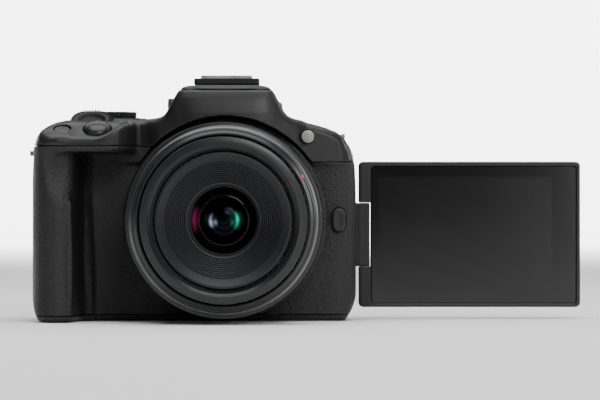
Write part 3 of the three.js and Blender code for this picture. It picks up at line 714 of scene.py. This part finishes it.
def revolve(name, profile, place, axis, sides=128, ribs=0, smooth_angle=28):
    """A closed ring or disc turned about an axis from (radius, along, rib depth, rib drop) points.

    Ribs are round ridges: between them a row lies lower by its depth across and its drop along the axis."""
    rows = [tuple(point) + (0,) * (4 - len(point)) for point in profile]
    solid = rows[0][0] == 0
    if ribs:
        sides = ribs * 6
    turn = np.linspace(0, 2 * math.pi, sides, endpoint=False)
    to_axis = Vector((0, 0, 1)).rotation_difference(Vector(axis)).to_matrix()
    valley = (0.5 - 0.5 * np.cos(turn * ribs)) ** 2
    points = []
    for radius, along, depth, drop in rows:
        r = radius - depth * valley
        points.append(np.stack([r * np.cos(turn), r * np.sin(turn), along - drop * valley], axis=1))
    points = np.concatenate(points) @ np.array(to_axis).T + np.array(place)
    faces = []
    count = len(rows)
    for i in range(count - 1 if solid else count):
        j = (i + 1) % count
        for k in range(sides):
            m = (k + 1) % sides
            faces.append([i * sides + k, i * sides + m, j * sides + m, j * sides + k])
    if solid:
        keep = {}
        for i in (0, count - 1):
            for k in range(sides):
                keep[i * sides + k] = i * sides
        faces = [list(dict.fromkeys(keep.get(v, v) for v in face)) for face in faces]
        faces = [face for face in faces if len(face) > 2]
        used = sorted({v for face in faces for v in face})
        place_of = {v: n for n, v in enumerate(used)}
        faces = [[place_of[v] for v in face] for face in faces]
        points = points[used]
    return mesh_object(name, points, faces, smooth_angle)


def lens_ring(name, profile, **more):
    """A turned lens piece; its profile gives radius and Y."""
    flipped = [(row[0], -row[1], *row[2:]) for row in profile]
    return revolve(name, flipped, (0, 0, LENS_Z), (0, -1, 0), **more)


def lens():
    dress(lens_ring("lens_mount_flange", [
        (24, -14.2), (26.4, -14.2), (26.6, -14.5), (26.6, -20.3), (30.8, -20.3), (31, -20.5), (31, -22.4),
        (24, -22.4),
    ]), STEEL, "lens_mount_plate")
    dress(lens_ring("body_mount_ring", [
        (27, -19.7), (27.3, -20), (32.7, -20), (33, -19.7), (33, -17.4), (30.5, -17.4), (30.5, -14.5),
        (27, -14.5),
    ]), STEEL, "mount_ring")
    dress(lens_ring("lens_tube", [
        (30, -22.7), (32.7, -22.7), (33.4, -23.3), (33.4, -27.4), (33, -28), (31.5, -28.6), (31.5, -60.4),
        (30, -60.4),
    ]), LENS_PAINT, "lens_barrel")
    rib = 0.42
    dress(lens_ring("zoom_ring_knurled", [
        (31.9, -29), (33.9, -29), (34.2, -29.3), (34.2, -30.6), (34.4, -31.0), (34.4, -31.4, rib),
        (34.4, -42.6, rib), (34.4, -43), (34.2, -43.4), (34.2, -44.7), (33.9, -45), (31.9, -45),
    ], ribs=110), LENS_PAINT, "zoom_ring")
    fine_rib = 0.22
    dress(lens_ring("control_ring_knurled", [
        (31.9, -45.3), (33.8, -45.3), (34, -45.6), (34, -46.4), (34.15, -46.8, fine_rib),
        (34.3, -52, fine_rib), (34.4, -52.6), (34.4, -56.6), (34.2, -57), (31.9, -57),
    ], ribs=170), LENS_PAINT, "control_ring")
    dress(lens_ring("front_bezel", [
        (31.9, -57.3), (34.2, -57.3), (34.4, -57.6), (34.4, -57.95), (34.25, -58.2), (33.3, -58.3),
        (32.9, -58.5), (32.4, -59.3), (32.35, -59.85), (30.55, -62.15), (30.3, -62.15), (30.3, -60.8),
        (31.9, -60.8),
    ], sides=180), LENS_PAINT, "lens_bezel")
    extra(lens_ring("bezel_edge", [
        (33.3, -58.1), (33.3, -58.45), (33.2, -58.6), (32.65, -59.7), (32.5, -59.8), (32.3, -59.7),
        (32.3, -58.1),
    ], sides=180), EDGE_METAL, "camera_body")
    dress(lens_ring("inner_tube", [
        (26.8, -32), (29.3, -32), (29.3, -62.6), (26.8, -62.6),
    ]), LENS_PAINT, "front_barrel")
    thread = [(25.3 + 0.12 * (i % 2), -62.9 + 0.5 * i) for i in range(7)]
    dress(lens_ring("filter_rim", [
        (24.5, -58), (26.4, -58), (26.4, -62.9), (29.2, -62.9), (29.3, -63.0), (29.3, -63.55),
        (29.15, -63.85), (28.6, -64.05), (27, -64.3), (26.6, -64.3), (26.35, -64.1), (26.1, -63.7),
        (25.6, -63.4), *thread, (24.5, -59.4),
    ], sides=180), LENS_PAINT, "filter_ring")
    name_ring()
    front_glass()
    index_dot()


def name_ring():
    """The sloping ring round the front glass, with turned ridges that stop stray light."""
    rim, hole = (23.4, -60.5), (12.4, -55)
    slope = (hole[1] - rim[1]) / (rim[0] - hole[0])

    def on_cone(radius, rise=0.0):
        return radius, hole[1] - slope * (radius - hole[0]) + rise

    cone = [rim, (23.2, -60.55), (22.9, -60.15)]
    for radius in np.linspace(20.2, 13.6, 10):
        cone += [on_cone(radius + 0.28), on_cone(radius, 0.5), on_cone(radius - 0.2)]
    dress(lens_ring("name_ring_cone", [
        (hole[0], -52), (13.2, -52), (24.1, -57.5), (24.1, -60.3), (23.9, -60.5), *cone,
        (12.9, -55.2), (12.5, -54.9), (hole[0], -54.5),
    ], sides=180, smooth_angle=50), NAME_PAINT, "name_ring")


def front_glass():
    """The front cell, and the glasses seen in it: an outer ring of glass, a step and a domed glass."""
    dress(lens_ring("front_cell_ring", [
        (12.6, -44), (20, -44), (20, -50), (13, -51.6), (11.9, -51.6), (11.7, -51.4), (11.9, -50.2),
        (12.6, -49.4),
    ]), MATTE, "front_cell")
    rim, hole = 12.2, 8.8
    outer = [(r, -51.9 + 2.9 * (r / rim) ** 2) for r in np.linspace(hole, rim, 10)]
    outer += [(rim, -47.6), (hole, -47.6)]
    dress(lens_ring("front_glass_element", outer, smooth_angle=60), FRONT_GLASS_PAINTED_REFLECTION, "front_element")
    inner = [(r, -37.9 - math.sqrt(12.7 ** 2 - r * r)) for r in np.linspace(0, 8.2, 16)]
    inner += [(8.2, -46), (0, -46)]
    second = lens_ring("second_glass_element", inner, smooth_angle=60)
    extra(second, INNER_GLASS_PAINTED_REFLECTION, "lens_inner")
    step = [(8.75, -46.4), (8.75, -50.6), (8.6, -50.6), (8.5, -49.9), (8.35, -49.7), (8.25, -46.4)]
    extra(lens_ring("stepped_baffle", step), GLOSS, "lens_inner")


def index_dot():
    """The red dot on the bevel of the bezel."""
    angle, reach = math.radians(29), 31.7
    right, up = math.cos(angle), math.sin(angle)
    dot = [(0, 0.14), (0.5, 0.12), (0.68, 0), (0.68, -0.3), (0, -0.3)]
    place = (reach * right, -60.95, LENS_Z + reach * up)
    extra(revolve("index_dot", dot, place, (0.7 * right, -0.72, 0.7 * up), sides=24), RED, "camera_body")


# ------------------------------------------------------------------ controls

def domed(radius, top, bottom, crown):
    """A round button: a crowned top with a rolled edge, and straight sides."""
    edge = 0.4
    cap = [(r, top + crown * (1 - (r / radius) ** 2)) for r in np.linspace(0, radius - edge, 8)]
    for a in (0.5, 1.0, 1.4):
        cap.append((radius - edge * (1 - math.sin(a)), top - edge * (1 - math.cos(a)) - 0.02))
    return cap + [(radius, bottom), (0, bottom)]


def rear_cap(name, node, profile, sides):
    """A turned cap on the rear face."""
    cx, _, cz = centre_of(node)
    dress(revolve(name, profile, (cx, 0, cz), (0, 1, 0), sides=sides), SATIN, node)


def buttons():
    foot = -2.5
    radius = DECK_BUTTONS["shutter_button"][0]
    dome = [(radius * math.sin(a), 2.3 * math.cos(a)) for a in np.linspace(0, math.pi / 2, 14)]
    dome += [(radius, foot), (0, foot)]
    shutter = revolve("shutter_release", dome, deck_place("shutter_button"), DECK_AXIS, sides=96)
    dress(shutter, LENS_PAINT, "shutter_button")
    hollow = domed(DECK_BUTTONS["record_button"][0], 0.15, foot, -0.12)
    record = revolve("record_key", hollow, deck_place("record_button"), DECK_AXIS, sides=72)
    dress(record, SATIN, "record_button")
    for node in REAR_BUTTONS:
        bottom, top = ranges(node)[1]
        rear_cap(node + "_cap", node, domed(half_of(node)[0], top - 0.15, bottom, 0.15), 56)
    bottom, top = ranges("control_pad")[1]
    outer, inner = half_of("control_pad")[0], half_of("set_button")[0]
    rear_cap("pad_ring", "control_pad", [
        (inner + 0.3, bottom), (inner + 0.3, top - 0.7), (inner + 0.7, top - 0.45), (outer - 1.6, top - 0.05),
        (outer - 0.9, top), (outer - 0.3, top - 0.15), (outer, top - 0.6), (outer, bottom),
    ], 120)
    bottom, top = ranges("set_button")[1]
    rear_cap("set_cap", "set_button", domed(inner, top - 0.25, bottom, 0.2), 72)


def dials():
    radius, knurl = 7.5, 0.7
    wheel = [(0, 0.6), (radius - 3.2, 0.6), (radius - 3.0, 0.8), (radius - 2.4, 1.7), (radius - 2.1, 1.85),
             (radius - 1.5, 1.85), (radius - 0.6, 2.4, knurl, 0.5), (radius, 1.9, knurl, 0.5),
             (radius, -1.9, knurl), (radius - 0.2, -2.3, 0.3), (radius - 0.6, -2.5), (0, -2.5)]
    dress(revolve("main_dial_wheel", wheel, centre_of("main_dial"), DECK_AXIS, ribs=40), MATTE, "main_dial")
    radius, _, top = half_of("mode_dial")
    middle = centre_of("mode_dial")
    wheel = [(0, top - 0.25), (radius - 1.4, top - 0.25), (radius - 1.2, top - 0.05),
             (radius - 0.4, top - 0.05), (radius, top - 0.4, 0.3), (radius, -top + 0.3, 0.3),
             (radius - 0.3, -top), (0, -top)]
    dress(revolve("mode_dial_wheel", wheel, middle, (0, 0, 1), ribs=60), SATIN, "mode_dial")
    mark = [(0, 0.04), (0.55, 0.04), (0.55, -0.2), (0, -0.2)]
    reach = radius - 2.6
    for i in range(8):
        angle = math.radians(45 * i)
        place = middle + np.array([math.cos(angle) * reach, math.sin(angle) * reach, top - 0.27])
        extra(revolve(f"mode_mark_{i}", mark, place, (0, 0, 1), sides=20), MARK, "mode_dial")
    end, _, radius = half_of("dioptre_dial")
    wheel = [(0, end - 0.5), (radius - 1.2, end - 0.5), (radius - 0.9, end - 0.1), (radius - 0.4, end),
             (radius, end - 0.35, 0.25), (radius, -end + 0.2, 0.25), (radius - 0.2, -end), (0, -end)]
    dress(revolve("dioptre_wheel", wheel, centre_of("dioptre_dial"), (-1, 0, 0), ribs=28), SATIN,
          "dioptre_dial")


def switch_and_release():
    (_, lever_tip), _, lever_zs = ranges("power_switch")
    cx, cy, _ = centre_of("mode_dial")

    def switch(x, y, z):
        plate = both(disc(x, y, cx, cy, 10), slab(z, *lever_zs), 0.35)
        lever = both(block(x, y, 0 * z, (cx, lever_tip), (cy - 2, cy + 2), (-1, 1)), slab(z, *lever_zs), 0.35)
        return either(plate, lever, 0.8)

    shaped("power_lever", switch, 0.35, SATIN, "power_switch")
    key_xs, (key_front, key_back), key_zs = ranges("lens_release_button")

    def release(x, y, z):
        hollow = 0.35 * np.exp(-((x - 40.8) ** 2 + (z - LENS_Z) ** 2) / 9)
        across = upright(x, z, key_xs, key_zs, 3.3)
        return both(both(across, key_front + hollow - y, 0.6), y - key_back)

    shaped("lens_release_key", release, 0.35, SATIN, "lens_release_button")


# ------------------------------------------------------------------ hump, shoe, eyepiece and lugs

def flash():
    def head(x, y, z):
        lid = both(both(body(x, y, z), LID_UNDER + 0.3 - z, 0.25), y - LID_REAR + 0.6, 0.25)
        lamp = block(x, y, z, (-11, 11), (-18, -8.5), (77, 83.9), 0.5)
        lamp_face = block(x, y, z, (-10.2, 10.2), (-20, -16.4), (77.8, 82.4), 0.5)
        return either(lid, without(lamp, lamp_face), 0.2)

    shaped("flash_lid", head, 0.45, SATIN, "flash_head")
    xs, (front, back), zs = ranges("flash_window")

    def window(x, y, z):
        flutes = 0.18 * np.abs(np.sin(z * math.pi / 0.8))
        return both(upright(x, z, xs, zs, 0.5), slab(y, front + flutes, back), 0.1)

    shaped("flash_diffuser", window, 0.25, LAMP, "flash_window")


def shoe():
    seat = 87.2
    plate_xs, plate_ys, plate_zs = ranges("hot_shoe_base")
    rail_box = ranges("hot_shoe_rails")

    def base_plate(x, y, z):
        plate = both(block(x, y, 0 * z, plate_xs, plate_ys, (-1, 1), 1.5), slab(z, *plate_zs), 0.4)
        return without(plate, block(x, y, z, (-9.8, 9.8), (-1.4, 30), (86.4, 95), 0.1), 0.15)

    def rails(x, y, z):
        channel = block(x, y, z, (-8.9, 8.9), (-0.4, 30), (seat, 88.5), 0.1)
        slot = block(x, y, z, (-6.2, 6.2), (-0.4, 30), (88, 95))
        return without(without(block(x, y, z, *rail_box, 0.25), channel, 0.1), slot, 0.15)

    shaped("shoe_plate", base_plate, 0.35, MATTE, "hot_shoe_base")
    shaped("shoe_rails", rails, 0.24, STEEL, "hot_shoe_rails")
    contacts = ((0, 8, 1.7), (-3.6, 5.8, 0.75), (-1.2, 3.6, 0.75), (1.2, 3.6, 0.75), (3.6, 5.8, 0.75))
    for i, (x, y, radius) in enumerate(contacts):
        pad = [(0, 0.1), (radius - 0.1, 0.1), (radius, 0.02), (radius, -0.3), (0, -0.3)]
        extra(revolve(f"shoe_contact_{i}", pad, (x, y, seat), (0, 0, 1), sides=32), BRASS, "camera_body")


def eyepiece():
    middle_z = centre_of("eyecup")[2]
    cup_xs, (cup_front, cup_back), cup_zs = ranges("eyecup")
    pane_xs, (pane_front, pane_back), pane_zs = ranges("eyepiece_lens")

    def cup(x, y, z):
        crown = y - cup_back + 0.012 * x * x
        ring = both(both(upright(x, z, cup_xs, cup_zs, 3.0), crown, 1.3), cup_front - y, 0.3)
        opening = upright(x, z, (-9.6, 9.6), (middle_z - 6, middle_z + 6), 2.0)
        return without(ring, opening - 0.45 * np.maximum(y - cup_front - 2, 0), 0.6)

    def pane(x, y, z):
        crown = 0.004 * (x * x + (z - middle_z) ** 2)
        return both(upright(x, z, pane_xs, pane_zs, 2.0), slab(y, pane_front, pane_back - crown), 0.2)

    shaped("eyecup_rubber", cup, 0.45, RUBBER, "eyecup")
    shaped("eyepiece_pane", pane, 0.5, CLEAR_GLASS, "eyepiece_lens")


def loop(along, y, across, length, width, thickness, hole):
    """A flat lug with a hole for a strap; its length and thickness lie along two chosen axes."""
    plate = both(both(slab(along, *length), slab(y, *width), 0.9), slab(across, *thickness), 0.3)
    return without(plate, both(slab(along, *hole), slab(y, *grown(width, -0.9)), 0.3), 0.25)


def lugs_and_lamp():
    left_xs, left_ys, left_zs = ranges("strap_lug_left")
    right_xs, right_ys, right_zs = ranges("strap_lug_right")

    def left_lug(x, y, z):
        return loop(x, y, z, left_xs, left_ys, left_zs, (left_xs[0] + 0.7, left_xs[1] - 0.8))

    def right_lug(x, y, z):
        return loop(z, y, x, right_zs, right_ys, right_xs, (right_zs[1] - 2.0, right_zs[1] - 0.8))

    shaped("strap_lug_left_loop", left_lug, 0.25, DIE_CAST, "strap_lug_left")
    shaped("strap_lug_right_loop", right_lug, 0.25, DIE_CAST, "strap_lug_right")
    cx, _, cz = centre_of("af_lamp")
    front = ranges("af_lamp")[1][0]
    radius = 2.3
    cap = [(r, -0.35 * (r / radius) ** 2) for r in np.linspace(0, 2.1, 8)]
    cap += [(radius, -0.6), (radius, -3.2), (0, -3.2)]
    dress(revolve("lamp_lens_cap", cap, (cx, front, cz), (0, -1, 0), sides=64), LAMP, "af_lamp")


# ------------------------------------------------------------------ screen

def screen():
    xs, ys, zs = ranges("screen_housing")
    arm_xs, _, arm_zs = ranges("hinge_arm")
    glass_xs, _, glass_zs = ranges("screen_glass")
    middle_y = centre_of("screen_housing")[1]
    tilt_z = centre_of("hinge_arm")[2]

    def housing(x, y, z):
        panel = both(upright(x, z, xs, zs, 2.0), slab(y, *ys), 0.7)
        notch = both(disc(y, z, middle_y, tilt_z, 12.25), x - 52.8)
        pocket = upright(x, z, grown(glass_xs, 0.2), grown(glass_zs, 0.2), 1.2)
        groove = np.abs(upright(x, z, (58, 124), (10, 52), 3.0)) - 0.25
        f = without(without(panel, notch, 0.3), both(pocket, y - ys[0] - 1.1), 0.2)
        return without(f, both(groove, ys[1] - 0.3 - y), 0.15)

    def arm(x, y, z):
        barrel = both(disc(x, y, HINGE_X, middle_y, 3.2), slab(z, *arm_zs), 0.3)
        leaf = block(x, y, z, (HINGE_X, arm_xs[1]), (middle_y - 3, middle_y + 3), grown(arm_zs, -0.3), 0.5)
        leaf = both(leaf, disc(y, z, middle_y, tilt_z, 11.9), 0.3)
        groove = both(np.abs(x - 48.3) - 0.12, -(np.abs(y - middle_y) - 2.8))
        return without(either(barrel, leaf, 0.6), groove, 0.08)

    shaped("screen_shell", housing, 0.55, SATIN, "screen_housing")
    shaped("hinge_arm_shell", arm, 0.4, SATIN, "hinge_arm")
    glass_pane()


def glass_pane():
    """The cover glass: a thin plate with rounded corners whose middle is the display."""
    low, high = span("screen_glass")
    middle = (low + high) / 2
    radius, chamfer, steps = 1.2, 0.15, 5
    face_y, back_y = low[1] + 0.05, high[1]
    (left, right), (bottom, top) = (56.0, 119.6), (9.7, 52.0)
    display = [(right, bottom), (right, top), (left, top), (left, bottom)]
    rim = []
    for sign_x, sign_z, start in ((1, -1, -90), (1, 1, 0), (-1, 1, 90), (-1, -1, 180)):
        cx = (high[0] if sign_x > 0 else low[0]) - sign_x * radius
        cz = (high[2] if sign_z > 0 else low[2]) - sign_z * radius
        for angle in np.radians(start + np.linspace(0, 90, steps)):
            rim.append((cx + radius * math.cos(angle), cz + radius * math.sin(angle)))

    def inset(x, z):
        return x - math.copysign(chamfer, x - middle[0]), z - math.copysign(chamfer, z - middle[2])

    count = len(rim)
    rows = [(face_y, [inset(*p) for p in rim]), (face_y + chamfer, rim), (back_y, rim), (face_y, display)]
    points = [(x, y, z) for y, row in rows for x, z in row]
    faces = []
    for k in range(count):
        m = (k + 1) % count
        faces += [[k, m, count + m, count + k], [count + k, count + m, 2 * count + m, 2 * count + k]]
    faces.append(list(range(2 * count, 3 * count)))
    first = 3 * count
    for corner in range(4):
        following = (corner + 1) % 4
        row = list(range(corner * steps, corner * steps + steps))
        faces += [row + [first + corner], [row[-1], following * steps, first + following, first + corner]]
    faces.append([first + k for k in range(4)])
    pane = mesh_object("screen_pane", points, faces, 20)
    dress(pane, SCREEN_GLASS, "screen_glass")
    pane.data.materials.append(DISPLAY)
    pane.data.polygons[len(faces) - 1].material_index = 1


# ------------------------------------------------------------------ doors, latch and tripod socket

def doors():
    (_, door_right), (_, door_rear), door_zs = ranges("battery_door")
    latch_xs, latch_ys, latch_zs = ranges("door_latch")
    (flap_outside, flap_inside), flap_ys, flap_zs = ranges("port_cover")

    def door(x, y, z):
        plan = both(lower_plan(x, y) + 2.5, both(x - door_right, y - door_rear), 0.6)
        slot = block(x, y, 0 * z, grown(latch_xs, 0.3), (latch_ys[0] - 0.3, latch_ys[1] + 2.8), (-1, 1), 0.8)
        plate = both(plan, slab(z, *door_zs), 0.3)
        return without(plate, both(slot, z - latch_zs[1] - 0.2), 0.15)

    def latch(x, y, z):
        grooves = 0.12 * (1 - np.cos(y * 2 * math.pi / 1.1))
        across = block(x, y, 0 * z, latch_xs, latch_ys, (-1, 1), 0.8)
        return both(across, slab(z, latch_zs[0] + grooves, latch_zs[1]), 0.15)

    def flap(x, y, z):
        across = block(0 * x, y, z, (-1, 1), flap_ys, flap_zs, 1.2)
        plate = both(across, slab(x, flap_outside, flap_inside), 0.35)
        pull = both(slab(y, *grown(flap_ys, -3)), slab(z, flap_zs[0] + 1.0, flap_zs[0] + 2.0), 0.4)
        return without(plate, both(pull, x - flap_outside - 0.4), 0.3)

    shaped("battery_door_shell", door, 0.5, TEXTURED, "battery_door")
    shaped("door_latch_key", latch, 0.25, SATIN, "door_latch")
    shaped("port_flap", flap, 0.3, RUBBER, "port_cover")


def tripod_bush():
    cx, cy, _ = centre_of("tripod_socket")
    bottom, top = ranges("tripod_socket")[2]
    radius = half_of("tripod_socket")[0]
    pitch, crest, root = 1.27, 3.2, 3.7
    thread = []
    for i in range(int((top - bottom - 1) / pitch)):
        z = bottom + 0.7 + pitch * i
        thread += [(crest, z), (root, z + pitch / 2)]
    wall = [(3.9, bottom), (radius - 0.3, bottom), (radius, bottom + 0.3), (radius, top), (crest, top)]
    bush = revolve("tripod_bush", wall + thread[::-1], (cx, cy, 0), (0, 0, 1), sides=96)
    dress(bush, STEEL, "tripod_socket")


# ------------------------------------------------------------------ making the pieces

shaped("front_cover_shell", front_cover_field, FINE, TEXTURED, "front_cover", "grip_skin")
shaped("top_cover_shell", top_cover_field, FINE, SATIN, "top_cover")
shaped("rear_cover_shell", rear_cover_field, FINE, TEXTURED, "rear_cover")
shaped("bottom_plate_shell", bottom_plate_field, FINE, TEXTURED, "bottom_plate")
lens()
buttons()
dials()
switch_and_release()
flash()
shoe()
eyepiece()
lugs_and_lamp()
screen()
doors()
tripod_bush()
for name, node in nodes.items():
    node.data.materials.clear()
    node.data.materials.append(SLOT_MATERIALS[NODE_SLOT[name]])


# ------------------------------------------------------------------ stage, light and camera

def area_light(name, place, aim, size, power):
    light = bpy.data.lights.new(name, "AREA")
    light.shape = "RECTANGLE"
    light.size, light.size_y = size
    light.energy = power
    lamp = bpy.data.objects.new(name, light)
    lamp.location = place
    lamp.rotation_euler = (Vector(aim) - Vector(place)).to_track_quat("-Z", "Y").to_euler()
    lamp.visible_camera = False
    bpy.context.scene.collection.objects.link(lamp)


def studio():
    """A pale sweep: the floor curves up into a wall far behind, with its own light."""
    bend = np.linspace(0, math.pi / 2, 13)
    rise = [(3.2 + 0.4 * math.sin(a), 0.4 - 0.4 * math.cos(a)) for a in bend]
    section = [(-4.0, 0.0), *rise, (3.6, 0.8)]
    points = [(side, y, z - 0.0002) for side in (-5, 5) for y, z in section]
    count = len(section)
    sweep = bpy.data.meshes.new("studio_sweep")
    sweep.from_pydata(points, [], [(i, i + 1, count + i + 1, count + i) for i in range(count - 1)])
    sweep.shade_smooth()
    floor = bpy.data.objects.new("studio_sweep", sweep)
    bpy.context.scene.collection.objects.link(floor)
    floor.data.materials.append(material("studio_paper", (0.9, 0.9, 0.9), 0.95))
    world = bpy.data.worlds.new("studio_world")
    world.use_nodes = True
    world.node_tree.nodes["Background"].inputs["Color"].default_value = (1, 1, 1, 1)
    world.node_tree.nodes["Background"].inputs["Strength"].default_value = 0.05
    bpy.context.scene.world = world
    area_light("backdrop_light", (0, 2.2, 1.4), (0, 3.6, 0.1), (3.0, 0.5), 240)
    area_light("floor_light", (0, 1.5, 1.6), (0, 1.7, 0), (3.0, 1.2), 25)
    area_light("top_softbox", (0.03, -0.15, 1.1), (0.03, 0, 0.04), (1.2, 0.9), 15)
    area_light("left_card", (-0.75, -0.75, 0.3), (0, 0, 0.04), (0.3, 0.7), 0.35)
    area_light("right_card", (0.8, -0.9, 0.3), (0, 0, 0.04), (0.3, 0.7), 1.8)
    area_light("right_rim", (1.0, 0.3, 0.4), (0, -0.04, 0.04), (0.2, 0.7), 4)
    area_light("front_fill", (0.4, -1.3, 0.8), (0, 0, 0.04), (0.6, 0.4), 9)
    area_light("screen_card", (0.36, -1.5, 0.06), (0.09, 0, 0.04), (0.2, 0.5), 1.3)


def camera():
    """Square to the front, with the grip's front 1324 mm away at 0.3547 mm to a picture pixel."""
    data = bpy.data.cameras.new("photo_camera")
    data.sensor_width = 36
    data.lens = data.sensor_width / 600 * 1324 / 0.3547
    place = bpy.data.objects.new("photo_camera", data)
    place.location = (0.0268, -1.364, 0.0435)
    place.rotation_euler = (math.pi / 2, 0, 0)
    bpy.context.scene.collection.objects.link(place)
    bpy.context.scene.camera = place


studio()
camera()
